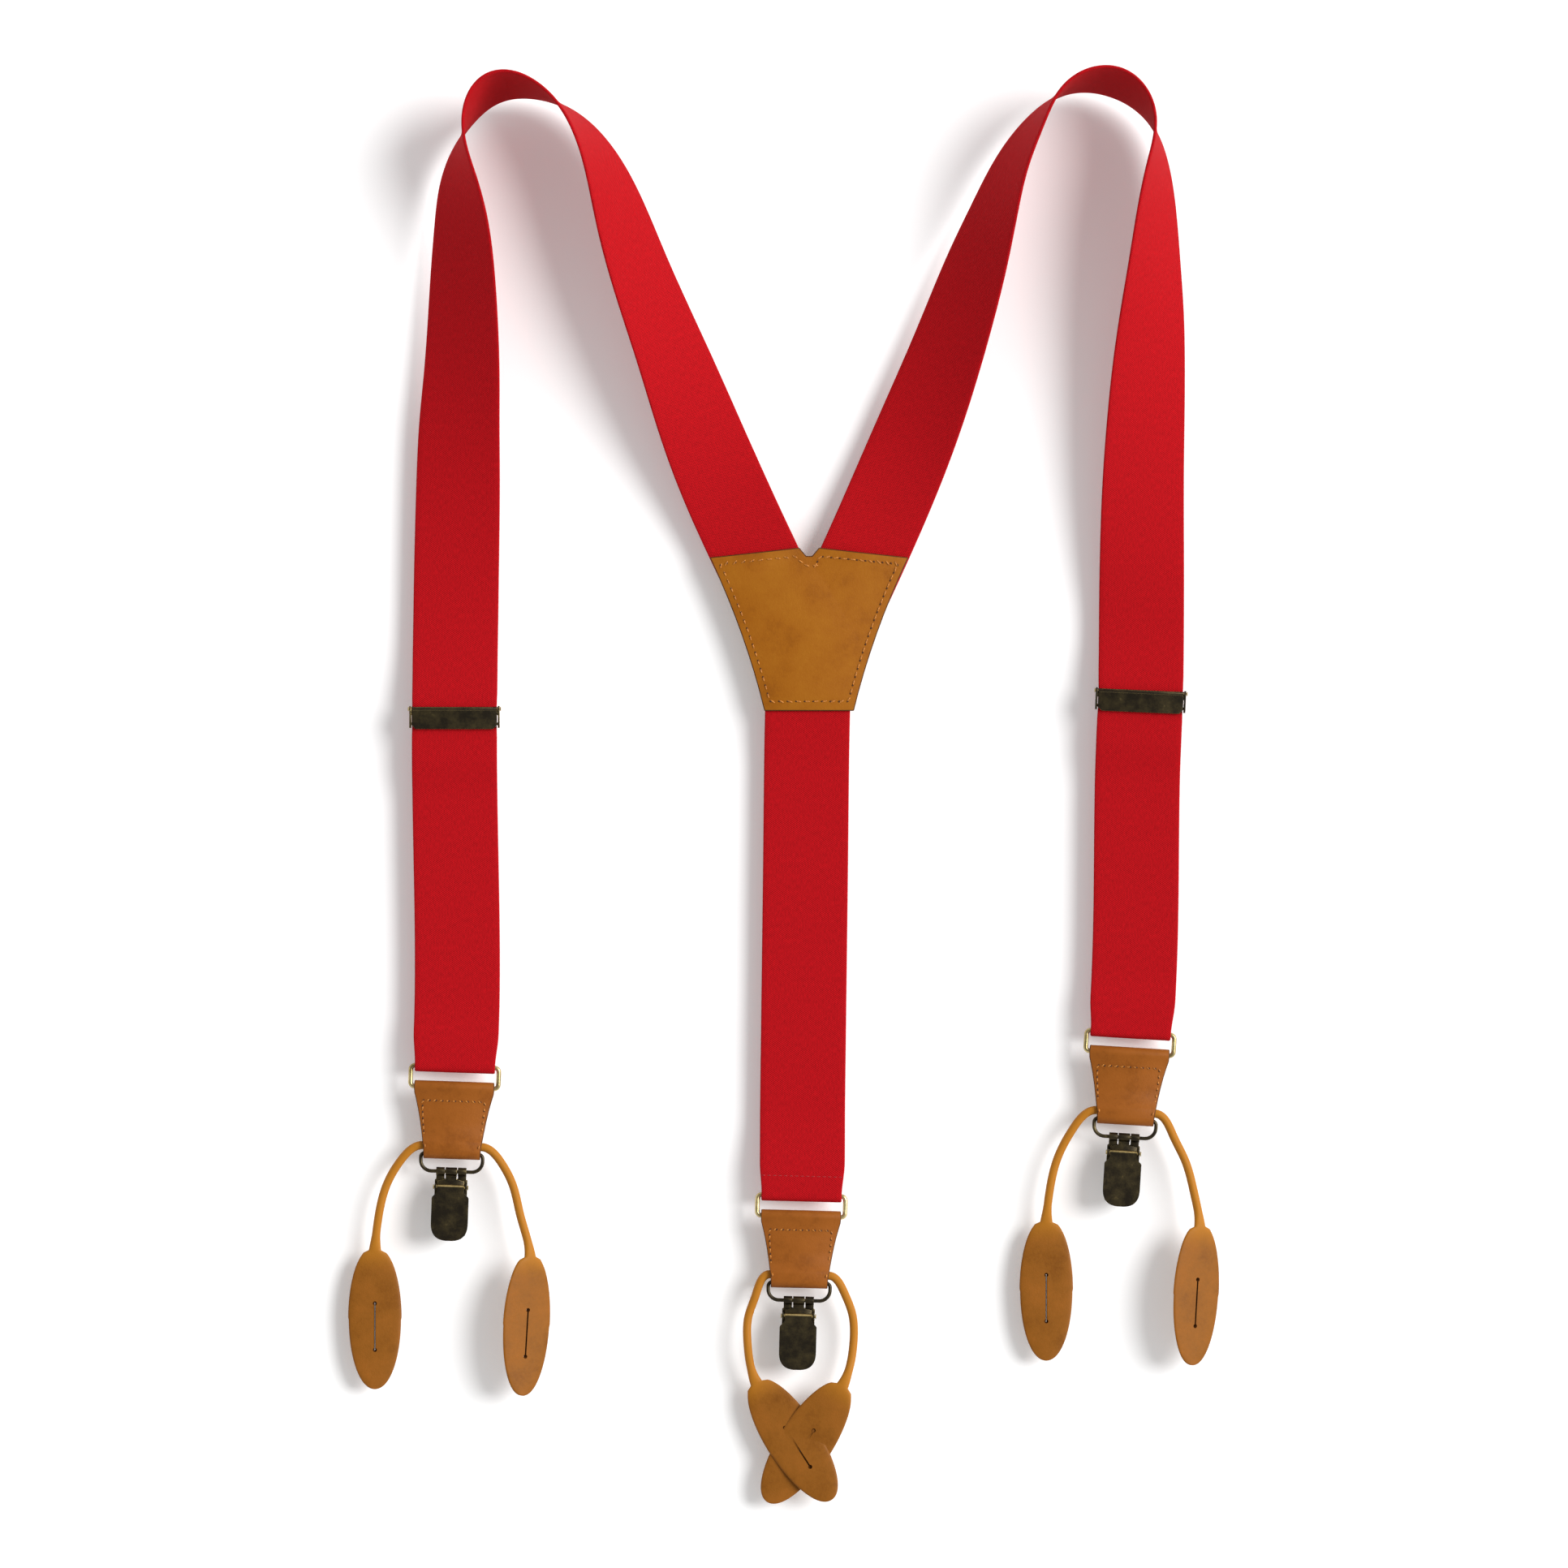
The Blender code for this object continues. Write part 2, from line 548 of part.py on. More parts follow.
def adjuster_lever():
    """The cover plate with a turned-down lip, a gripping ridge and a rolled sleeve."""
    corner = 1.6
    half, low, high = ADJUSTER_HALF, -4.75, 4.2
    outline = [(half - corner, high), (half, high - corner), (half, low + corner), (half - corner, low),
               (corner - half, low), (-half, low + corner), (-half, high - corner), (corner - half, high)]
    plate = outline_solid([outline], 6.45, 7.15)
    lip = box((corner - half, half - corner), (low, low + 0.7), (5.9, 7.0))
    ridge = box((-14, 14), (1.4, 2.4), (5.8, 6.6))
    sleeve = rod(-half + 0.05, half - 0.05, ADJUSTER_PIN_Y, ADJUSTER_PIN_Z, ADJUSTER_SLEEVE)
    cover = combined(plate, [lip, ridge, sleeve], "UNION")
    return combined(cover, [rod(-20, 20, ADJUSTER_PIN_Y, ADJUSTER_PIN_Z, ADJUSTER_BORE)], "DIFFERENCE")


def headed_pin(half, head_start, head_end, y, z, radius, head):
    """A rod with a flat head outside each ear."""
    heads = [rod(head_start, head_end, y, z, head), rod(-head_end, -head_start, y, z, head)]
    return combined(rod(-half, half, y, z, radius), heads, "UNION")


for side, data in ADJUSTERS.items():
    place = (Matrix.Translation((data["centre"][0] * MM, data["centre"][1] * MM, 0))
             @ Matrix.Rotation(math.radians(data["turn"]), 4, "Z"))
    add(f"{side}_adjuster_frame", scaled(adjuster_frame()), ANTIQUE_BRASS, place)
    on_pin = Matrix.Translation((0, ADJUSTER_PIN_Y * MM, ADJUSTER_PIN_Z * MM))
    for name, mesh in (("lever", adjuster_lever()),
                       ("pin", headed_pin(18.7, 18.65, 19.1, ADJUSTER_PIN_Y, ADJUSTER_PIN_Z,
                                          ADJUSTER_PIN, 0.8))):
        mesh.transform(Matrix.Translation((0, -ADJUSTER_PIN_Y, -ADJUSTER_PIN_Z)))
        add(f"{side}_adjuster_{name}", scaled(mesh), ANTIQUE_BRASS, place @ on_pin)


# Ends: ring, tab, thong, bail and clip

def tab():
    """A leather strip folded round the ring's bar and round the thong channel."""
    upper, lower = (CHANNEL_TOP_Y, CHANNEL_Z), (CHANNEL_BOTTOM_Y, CHANNEL_Z)
    outer, eye = CHANNEL_RADIUS + LEATHER, TAB_EYE + LEATHER
    middle = LEATHER + 0.1
    outline = (arc((0, 0), eye, -120, 120, 13) + [(-5, middle), (-18.5, middle)]
               + arc(upper, outer, 60, 90, 3) + arc(lower, outer, 90, 270, 11)
               + arc(upper, outer, 270, 300, 3) + [(-18.5, -middle), (-5, -middle)])
    channel = arc(lower, CHANNEL_RADIUS, 90, 270, 8) + arc(upper, CHANNEL_RADIUS, 270, 450, 8)
    eyelet = arc((0, 0), TAB_EYE, 0, 330, 12)
    strip = outline_solid([outline, channel, eyelet], -18, 18)
    along_y = Matrix(((0, 0, 1, 0), (1, 0, 0, 0), (0, 1, 0, 0), (0, 0, 0, 1)))
    strip.transform(along_y)
    waist = [(16.3, 2.8), (16.5, 0), (16.3, -2.5), (15.6, -5), (14.6, -9), (13.6, -14),
             (12.6, -20), (11.8, -25), (11.6, -30)]
    return combined(strip, [outline_solid([mirrored(waist)], -8, 8)], "INTERSECT")


def oval():
    """A flat leather oval with a vertical buttonhole slit."""
    rim = []
    for angle in np.radians(np.arange(0, 360, 12)):
        blunt = 0.88
        rim.append((OVAL_WIDTH / 2 * np.sign(math.cos(angle)) * abs(math.cos(angle)) ** blunt,
                    OVAL_LENGTH / 2 * math.sin(angle)))
    reach = SLIT_LENGTH / 2 - SLIT_WIDTH / 2
    slit = (arc((0, reach - SLIT_OFFSET), SLIT_WIDTH / 2, 0, 180, 5)
            + arc((0, -reach - SLIT_OFFSET), SLIT_WIDTH / 2, 180, 360, 5))
    return outline_solid([rim, slit], -OVAL_THICKNESS / 2, OVAL_THICKNESS / 2)


def thong(end):
    """One leather piece: a rolled cord through the tab with an oval on each end."""
    channel = end_place(end, -RING_HEIGHT + THONG_AXIS_Y, CHANNEL_Z)
    straight = 13.9
    run = [tuple(channel @ Vector((x * MM, 0, 0)) / MM) for x in np.linspace(-straight, straight, 9)]
    route = [*reversed(THONGS[end][0]["cord"]), *run, *THONGS[end][1]["cord"]]
    cord = tube([tuple(p) for p in smooth(route, 4.0)], CORD_RADIUS)
    ovals = []
    for half in THONGS[end]:
        flat = oval()
        flat.transform(Matrix.Translation(half["oval"])
                       @ Matrix.Rotation(math.radians(half["turn"]), 4, "Z")
                       @ Matrix.Rotation(math.radians(half["roll"]), 4, "Y")
                       @ Matrix.Rotation(math.radians(half["pitch"]), 4, "X"))
        ovals.append(flat)
    mesh = scaled(combined(cord, ovals, "UNION"))
    mesh.transform(channel.inverted())
    return add(f"{end}_thong", mesh, THONG_LEATHER, channel)


def knuckle(x_low, x_high):
    return rod(x_low, x_high, 0, 0, KNUCKLE_OUTER)


def clip_back():
    """The back plate with two knuckles on the bail and two ears for the lever's pin."""
    outline = mirrored([(6.0, -3.0), (6.7, -3.6), (6.7, -12), (7.2, -14), (7.2, -24), (6.4, -26.2),
                        (4.8, -27)])
    plate = outline_solid([outline], BACK_PLATE_Z, BACK_PLATE_Z + CLIP_SHEET)
    fingers, webs, ears = [], [], []
    for side in (-1, 1):
        low, high = sorted((2.7 * side, 6.2 * side))
        fingers.append(knuckle(low, high))
        webs.append(box((low + 0.05, high - 0.05), (-4.2, -0.7), (BACK_PLATE_Z + 0.05, -1.25)))
        low, high = sorted((5.9 * side, 6.65 * side))
        ears.append(box((low, high), (CLIP_PIN_Y - 1.2, CLIP_PIN_Y + 1.2),
                        (BACK_PLATE_Z + 0.1, CLIP_PIN_Z + 1.0)))
    body = combined(plate, fingers + webs + ears, "UNION")
    holes = [rod(-8, 8, 0, 0, KNUCKLE_BORE), rod(-8, 8, CLIP_PIN_Y, CLIP_PIN_Z, CLIP_PIN_BORE)]
    return combined(body, holes, "DIFFERENCE")


def clip_jaw():
    """The front jaw, hung on the bail by its middle knuckle."""
    outline = mirrored([(2.25, -0.9), (2.25, -3.2), (5.4, -3.9), (5.4, -12), (6.6, -14), (6.6, -24),
                        (5.6, -25.6), (4.2, -26.2)])
    plate = outline_solid([outline], JAW_Z, JAW_Z + CLIP_SHEET - 0.05)
    body = combined(plate, [knuckle(-2.35, 2.35)], "UNION")
    return combined(body, [rod(-8, 8, 0, 0, KNUCKLE_BORE)], "DIFFERENCE")


def grip_pad():
    """The nylon pad under the jaw, ribbed across."""
    outline = mirrored([(5.6, -15), (6.1, -15.6), (6.1, -24.6), (5.4, -25.4)])
    pad = outline_solid([outline], PAD_Z, PAD_Z + PAD_THICKNESS)
    grooves = [box((-8, 8), (y, y + 0.7), (PAD_Z - 0.3, PAD_Z + 0.25))
               for y in np.arange(-24.2, -16, 1.6)]
    return combined(pad, grooves, "DIFFERENCE")


def clip_lever():
    """The domed cover with its rolled sleeve and the cam that presses the jaw."""
    neck, half, round_from = 5.5, 7.6, -20.6
    side = [(neck, CLIP_PIN_Y + 0.2), (neck, CLIP_PIN_Y - 1.9), (half - 0.5, CLIP_PIN_Y - 3.2),
            (half, CLIP_PIN_Y - 4.4), (half, round_from)]
    side += [(half * math.cos(a) ** 0.8, round_from + (LEVER_END_Y - round_from) * math.sin(a) ** 0.8)
             for a in np.radians(np.arange(12, 90, 11))]
    rim = mirrored(side)
    work = bmesh.new()
    face = work.faces.new([work.verts.new((x, y, LEVER_RIM_Z)) for x, y in rim])
    face.normal_update()
    if face.normal.z < 0:
        face.normal_flip()
    bmesh.ops.inset_region(work, faces=[face], thickness=LEVER_BORDER, depth=0)
    for vert in face.verts:
        vert.co.z = LEVER_CROWN_Z
    mesh = bpy.data.meshes.new("cover")
    work.to_mesh(mesh)
    work.free()
    cover = bpy.data.objects.new("cover", mesh)
    cutters.objects.link(cover)
    shell = cover.modifiers.new("sheet", "SOLIDIFY")
    shell.thickness = CLIP_SHEET
    shell.offset = 1
    shell.use_even_offset = True
    sleeve = rod(-5.55, 5.55, CLIP_PIN_Y, CLIP_PIN_Z, CLIP_SLEEVE)
    cam = rod(-3.5, 3.5, CLIP_PIN_Y, CLIP_PIN_Z - 1.0, 0.72)
    body = combined(mesh_of(cover), [sleeve, cam], "UNION")
    return combined(body, [rod(-9, 9, CLIP_PIN_Y, CLIP_PIN_Z, CLIP_PIN_BORE)], "DIFFERENCE")


for end in ENDS:
    add(f"{end}_ring", scaled(wire_loop(RING_WIDTH, RING_HEIGHT, RING_CORNER, RING_WIRE)),
        RING_BRASS, end_place(end))
    add(f"{end}_tab", scaled(tab()), TAB_LEATHER, end_place(end, -RING_HEIGHT))
    thong(end)
    add(f"{end}_bail", scaled(wire_loop(BAIL_WIDTH, BAIL_HEIGHT, BAIL_CORNER, BAIL_WIRE, BAIL_LOWER_CORNER)),
        ANTIQUE_BRASS, end_place(end, -RING_HEIGHT + BAIL_AXIS_Y, CHANNEL_Z))
    clip_y = -RING_HEIGHT + BAIL_AXIS_Y - BAIL_HEIGHT
    on_bail = end_place(end, clip_y, CHANNEL_Z)
    add(f"{end}_clip_back", scaled(clip_back()), ANTIQUE_BRASS, on_bail)
    add(f"{end}_clip_jaw", scaled(clip_jaw()), ANTIQUE_BRASS, on_bail)
    add(f"{end}_grip_pad", scaled(grip_pad()), NYLON, on_bail)
    on_pin = end_place(end, clip_y + CLIP_PIN_Y, CHANNEL_Z + CLIP_PIN_Z)
    pin = headed_pin(6.9, 6.85, 7.25, CLIP_PIN_Y, CLIP_PIN_Z, CLIP_PIN_RADIUS, 0.95)
    for name, mesh in (("clip_lever", clip_lever()), ("clip_pin", pin)):
        mesh.transform(Matrix.Translation((0, -CLIP_PIN_Y, -CLIP_PIN_Z)))
        add(f"{end}_{name}", scaled(mesh), ANTIQUE_BRASS, on_pin)
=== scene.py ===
# %% [markdown]
# # Y-back suspenders
# Red elastic webbing, a stitched leather back patch, and on each end a ring, a
# folded leather tab, a leather thong with two button tabs and a trouser clip.
# The hard shapes are the CAD model's. Here each piece gets its real surface:
# woven rubber-core webbing, oiled leather, antiqued brass.

# %% Load the frame
import math

import bmesh
import bpy
import numpy as np
from mathutils import Matrix, Vector


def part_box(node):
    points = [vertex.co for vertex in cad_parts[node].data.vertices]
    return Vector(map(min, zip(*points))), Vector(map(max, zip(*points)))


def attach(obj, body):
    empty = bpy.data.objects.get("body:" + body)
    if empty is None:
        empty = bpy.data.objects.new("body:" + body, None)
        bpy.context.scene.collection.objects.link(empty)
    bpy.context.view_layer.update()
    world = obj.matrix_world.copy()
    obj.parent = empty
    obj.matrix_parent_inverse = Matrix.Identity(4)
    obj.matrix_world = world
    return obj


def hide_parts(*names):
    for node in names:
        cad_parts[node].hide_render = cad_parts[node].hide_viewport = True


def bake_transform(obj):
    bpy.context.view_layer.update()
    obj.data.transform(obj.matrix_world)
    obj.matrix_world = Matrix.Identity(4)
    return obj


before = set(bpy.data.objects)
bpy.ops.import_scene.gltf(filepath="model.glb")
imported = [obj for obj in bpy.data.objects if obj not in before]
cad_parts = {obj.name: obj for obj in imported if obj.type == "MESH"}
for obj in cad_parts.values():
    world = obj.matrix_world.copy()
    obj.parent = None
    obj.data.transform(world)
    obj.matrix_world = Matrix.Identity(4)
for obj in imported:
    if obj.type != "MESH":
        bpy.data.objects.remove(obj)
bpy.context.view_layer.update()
MM = 0.001

# %% [markdown]
# ## Camera and light
# The suspenders lie flat and are seen straight from above through a long lens,
# so that the webbing standing on its edge at the shoulders hardly leans. One
# large soft key comes from the right; the sky fills in the other side.

# %% Camera
VIEW_CENTRE = (-0.0103, -0.062)
VIEW_WIDTH = 0.644
CAMERA_HEIGHT = 5.0
SENSOR = 36.0
lens = bpy.data.cameras.new("camera")
lens.sensor_width = SENSOR
lens.lens = SENSOR * CAMERA_HEIGHT / VIEW_WIDTH
lens.clip_end = 20
camera = bpy.data.objects.new("camera", lens)
camera.location = (*VIEW_CENTRE, CAMERA_HEIGHT)
bpy.context.scene.collection.objects.link(camera)
bpy.context.scene.camera = camera
bpy.context.scene.view_settings.view_transform = "Standard"
print("lens", round(lens.lens, 1), "mm")

# %% Light
KEY_ELEVATION, KEY_AZIMUTH = math.radians(43), math.radians(18)
KEY_STRENGTH, KEY_SPREAD = 3.2, math.radians(34)
key_light = bpy.data.lights.new("key", "SUN")
key_light.energy = KEY_STRENGTH
key_light.angle = KEY_SPREAD
key = bpy.data.objects.new("key", key_light)
towards = Vector((math.cos(KEY_ELEVATION) * math.cos(KEY_AZIMUTH),
                  math.cos(KEY_ELEVATION) * math.sin(KEY_AZIMUTH), math.sin(KEY_ELEVATION)))
key.rotation_euler = towards.to_track_quat("Z", "Y").to_euler()
bpy.context.scene.collection.objects.link(key)
sky = bpy.data.worlds.new("sky")
sky.use_nodes = True
bpy.context.scene.world = sky

# %% [markdown]
# ## Helpers for materials
# Colours are picked as sRGB hex values and turned to the linear values that the
# shader works in. One function adds a node with its settings and links.

# %% Material helpers
def linear(hex_value, alpha=1.0):
    """An sRGB hex colour as linear RGBA."""
    channels = [int(hex_value[i:i + 2], 16) / 255 for i in (1, 3, 5)]
    return tuple(c / 12.92 if c <= 0.04045 else ((c + 0.055) / 1.055) ** 2.4 for c in channels) + (alpha,)


def add_node(tree, kind, inputs=None, **settings):
    """A node with its settings; an input given a socket is linked, any other value is set."""
    made = tree.nodes.new(kind)
    for name, value in settings.items():
        setattr(made, name, value)
    for name, value in (inputs or {}).items():
        socket = made.inputs[name]
        if isinstance(value, bpy.types.NodeSocket):
            tree.links.new(value, socket)
        else:
            socket.default_value = value
    return made


def finish_of(name, roughness, metallic=0.0):
    """A new material and its Principled shader."""
    material = bpy.data.materials.new(name)
    material.use_nodes = True
    shader = material.node_tree.nodes["Principled BSDF"]
    shader.inputs["Roughness"].default_value = roughness
    shader.inputs["Metallic"].default_value = metallic
    return material, material.node_tree, shader


def ramp(tree, factor, stops):
    """A colour ramp through (position, colour) stops."""
    made = add_node(tree, "ShaderNodeValToRGB", {"Fac": factor})
    made.color_ramp.elements[0].position, made.color_ramp.elements[0].color = stops[0]
    made.color_ramp.elements[1].position, made.color_ramp.elements[1].color = stops[-1]
    for position, colour in stops[1:-1]:
        made.color_ramp.elements.new(position).color = colour
    return made.outputs["Color"]


def noise(tree, size_mm, detail=4.0, roughness=0.55, seed=0.0):
    """Noise on object coordinates with features of about size_mm."""
    place = add_node(tree, "ShaderNodeTexCoord").outputs["Object"]
    return add_node(tree, "ShaderNodeTexNoise", {"Vector": place, "W": seed, "Scale": 1 / (size_mm * MM),
                    "Detail": detail, "Roughness": roughness}, noise_dimensions="4D").outputs["Fac"]


# %% [markdown]
# ## The sky
# Metal shows what it mirrors. A dim ceiling and a bright horizon leave the flat
# faces of the hardware dark and draw a light line along every rounded edge.

# %% Sky
direction = add_node(sky.node_tree, "ShaderNodeTexCoord").outputs["Generated"]
height = add_node(sky.node_tree, "ShaderNodeSeparateXYZ", {0: direction}).outputs["Z"]
HORIZON, MIDDLE, CEILING = ((level, level, level, 1) for level in (0.95, 0.6, 0.22))
bands = ramp(sky.node_tree, height, [(0.05, HORIZON), (0.65, MIDDLE), (0.97, CEILING)])
sky.node_tree.links.new(bands, sky.node_tree.nodes["Background"].inputs["Color"])

# %% [markdown]
# ## The floor
# A plain white sweep, just bright enough to read as white paper. Suspenders
# never lie quite flat, so it sits a little lower and the edges cast a soft shade.
# It is lit a little from behind, as a light table is, to keep shadows pale.

# %% Floor
FLOOR_DROP, FLOOR_GLOW = 0.008, 0.14
floor_finish, tree, shader = finish_of("white_paper", 0.9)
shader.inputs["Base Color"].default_value = linear("#F8F8F8")
shader.inputs["Emission Color"].default_value = (1, 1, 1, 1)
shader.inputs["Emission Strength"].default_value = FLOOR_GLOW
bpy.ops.mesh.primitive_plane_add(size=8, location=(0, 0, -FLOOR_DROP))
floor = bpy.context.object
floor.name = "floor"
floor.data.materials.append(floor_finish)

# %% [markdown]
# ## Elastic webbing
# Suspender webbing is polyester yarn woven round rubber cores: fine lengthwise
# cords crossed by weft ribs, matt, with a slightly denser selvedge. The pattern
# follows each strip, so it reads a UV map laid out in millimetres: u across the
# webbing, v along it. Cords are 1.2 mm apart and ribs 0.8 mm, a little coarser
# than real yarn so that they show.

# %% Webbing material
CORD_SPACING, RIB_SPACING = 1.2, 0.8
WEBBING_WIDTH, WEBBING_THICKNESS = 35.0, 1.3


def webbing_finish(name, light, dark):
    """Woven elastic: ribs and cords as bump and a small change of colour."""
    material, tree, shader = finish_of(name, 0.82)
    place = add_node(tree, "ShaderNodeUVMap", uv_map="weave").outputs["UV"]
    split = add_node(tree, "ShaderNodeSeparateXYZ", {0: place})

    def wave(value, spacing):
        scaled = add_node(tree, "ShaderNodeMath", {0: value, 1: 2 * math.pi / spacing}, operation="MULTIPLY")
        return add_node(tree, "ShaderNodeMath", {0: scaled.outputs[0]}, operation="SINE").outputs[0]

    cords = wave(split.outputs["X"], CORD_SPACING)
    ribs = wave(split.outputs["Y"], RIB_SPACING)
    woven = add_node(tree, "ShaderNodeMath", {0: cords, 1: ribs}, operation="MULTIPLY").outputs[0]
    yarn = add_node(tree, "ShaderNodeMath", {0: woven, 1: 0.35, 2: 0.5}, operation="MULTIPLY_ADD").outputs[0]
    drawn_out = add_node(tree, "ShaderNodeVectorMath", {0: place, 1: (1.7, 0.45, 1.0)}, operation="MULTIPLY")
    fuzz = add_node(tree, "ShaderNodeTexNoise", {"Vector": drawn_out.outputs[0], "Scale": 1.0, "Detail": 4.0,
                                                 "Roughness": 0.75}).outputs["Fac"]
    mottled = add_node(tree, "ShaderNodeMath", {0: yarn, 1: fuzz}, operation="ADD").outputs[0]
    level = add_node(tree, "ShaderNodeMath", {0: mottled, 1: 0.5}, operation="MULTIPLY").outputs[0]
    colour = ramp(tree, level, [(0.34, linear(dark)), (0.68, linear(light))])
    tree.links.new(colour, shader.inputs["Base Color"])
    bump = add_node(tree, "ShaderNodeBump", {"Height": mottled, "Strength": 0.45, "Distance": 0.00025})
    tree.links.new(bump.outputs["Normal"], shader.inputs["Normal"])
    shader.inputs["Specular IOR Level"].default_value = 0.08
    shader.inputs["Sheen Weight"].default_value = 0.04
    shader.inputs["Sheen Roughness"].default_value = 0.5
    shader.inputs["Sheen Tint"].default_value = linear("#FF5A50")
    return material


RED_WEBBING = webbing_finish("red_elastic_webbing", "#C40F19", "#88070E")

# %% [markdown]
# The strips are swept by hand: a rounded cross-section is carried along a smooth
# line while it rolls, because a plain curve's twist can't be told to stand on
# one edge through the shoulder loop. The stations are the CAD model's own.

# %% Smooth lines
ROW_SPACING = 1.6


def smooth(stations, spacing):
    """Evenly spaced rows along a natural cubic spline through the stations."""
    rows = np.array(stations, dtype=float)
    steps = np.maximum(np.linalg.norm(np.diff(rows[:, :3], axis=0), axis=1), 1e-6)
    at = np.concatenate(([0.0], np.cumsum(steps)))
    count = len(rows)
    system, right = np.eye(count), np.zeros_like(rows)
    for i in range(1, count - 1):
        before, after = at[i] - at[i - 1], at[i + 1] - at[i]
        system[i, i - 1:i + 2] = before, 2 * (before + after), after
        right[i] = 6 * ((rows[i + 1] - rows[i]) / after - (rows[i] - rows[i - 1]) / before)
    bend = np.linalg.solve(system, right)
    result = []
    for s in np.linspace(0, at[-1], max(2, round(at[-1] / spacing) + 1)):
        i = min(max(int(np.searchsorted(at, s)) - 1, 0), count - 2)
        gap = at[i + 1] - at[i]
        a, b = (at[i + 1] - s) / gap, (s - at[i]) / gap
        result.append(a * rows[i] + b * rows[i + 1]
                      + ((a ** 3 - a) * bend[i] + (b ** 3 - b) * bend[i + 1]) * gap * gap / 6)
    return np.array(result)


def directions(points):
    """Unit travel directions in plan."""
    travel = np.gradient(points[:, :2], axis=0)
    return travel / np.linalg.norm(travel, axis=1)[:, None]


# %% Sweep a strip of webbing
ACROSS_STEPS = 16
EDGE_ANGLES = (36, 72, 108, 144)


def section(half, thickness):
    """Cross-section points (across, up) round a flat strip with rounded edges."""
    flat = half - thickness / 2
    xs = np.linspace(-flat, flat, ACROSS_STEPS + 1)
    upper = [(x, thickness / 2) for x in xs[::-1]]
    left = [(-flat - thickness / 2 * math.sin(a), thickness / 2 * math.cos(a))
            for a in np.radians(EDGE_ANGLES)]
    lower = [(x, -thickness / 2) for x in xs]
    right = [(-x, y) for x, y in reversed(left)]
    return upper + left + lower + right


def sweep_strip(name, centres, across, halves, material, travelled=0.0):
    """A closed strip of webbing with its weave coordinates in millimetres."""
    centres, across = np.array(centres, float), np.array(across, float)
    travel = np.gradient(centres, axis=0)
    travel /= np.linalg.norm(travel, axis=1)[:, None]
    up = np.cross(travel, across)
    up /= np.linalg.norm(up, axis=1)[:, None]
    along = np.concatenate(([0.0], np.cumsum(np.linalg.norm(np.diff(centres, axis=0), axis=1))))
    length = along[-1] * MM
    along += travelled
    work = bmesh.new()
    weave = work.loops.layers.uv.new("weave")
    rings = []
    for centre, side, normal, half in zip(centres, across, up, halves):
        points = section(half, WEBBING_THICKNESS)
        rings.append([work.verts.new((centre + side * x + normal * y) * MM) for x, y in points])
    count = len(rings[0])
    profile = section(WEBBING_WIDTH / 2, WEBBING_THICKNESS)
    for i, (first, second) in enumerate(zip(rings, rings[1:])):
        for k in range(count):
            n = (k + 1) % count
            face = work.faces.new((first[k], first[n], second[n], second[k]))
            face.smooth = True
            places = ((profile[k][0], along[i]), (profile[n][0], along[i]),
                      (profile[n][0], along[i + 1]), (profile[k][0], along[i + 1]))
            for loop, place in zip(face.loops, places):
                loop[weave].uv = place
    work.faces.new(rings[0][::-1])
    work.faces.new(rings[-1])
    bmesh.ops.recalc_face_normals(work, faces=work.faces)
    mesh = bpy.data.meshes.new(name)
    work.to_mesh(mesh)
    work.free()
    mesh.set_sharp_from_angle(angle=math.radians(60))
    mesh.materials.append(material)
    strip = bpy.data.objects.new(name, mesh)
    bpy.context.scene.collection.objects.link(strip)
    print(name, "length", round(length / MM), "mm,", len(mesh.polygons), "faces")
    return strip, length


# %% [markdown]
# ## Shoulder straps
# Each leaves the patch flat, rolls up on to its outer edge round the shoulder
# loop and lies flat again before the adjuster. It is parted at the top of the
# loop: the back length stays with the patch, and the front one runs on to its
# adjuster but is not attached to it. A station is x, y, the roll in degrees and the lift off the table.

# %% Shoulder strap routes
TABLE_GAP = 0.05
CENTRE_OVER_TABLE = TABLE_GAP + WEBBING_THICKNESS / 2
STRAP_IN_ADJUSTER_Z = 4.95
PATCH_LIFT = 1.55
ADJUSTER_LIFT = STRAP_IN_ADJUSTER_Z - CENTRE_OVER_TABLE
LEFT_ROUTE = [
    (-9.0, 3.0, 0, PATCH_LIFT), (-17, 21, 0, PATCH_LIFT), (-25, 38, 0, PATCH_LIFT),
    (-41.5, 75.5, 14, 0), (-56, 113.5, 33, 0), (-70.5, 151.5, 46, 0), (-77, 171, 53, 0),
    (-84, 190.5, 64, 0), (-94, 208, 78, 0), (-110, 221, 96, 0), (-129, 223, 108, 0),
    (-140.5, 208, 93, 0), (-143.5, 187, 66, 0), (-142.5, 167, 50, 0), (-142, 146, 40, 0),
    (-142, 126, 33, 0), (-142.5, 105.5, 26, 0), (-143.5, 85, 18, 0), (-144, 65, 11, 0),
    (-144.4, 44, 6, 0), (-144.8, 24, 2, 0), (-145.1, 4, 0, 0.2), (-145.3, -10, 0, 1.2),
    (-145.4, -24, 0, 3.6), (-145.5, -30, 0, ADJUSTER_LIFT), (-145.5, -34.2, 0, ADJUSTER_LIFT),
]
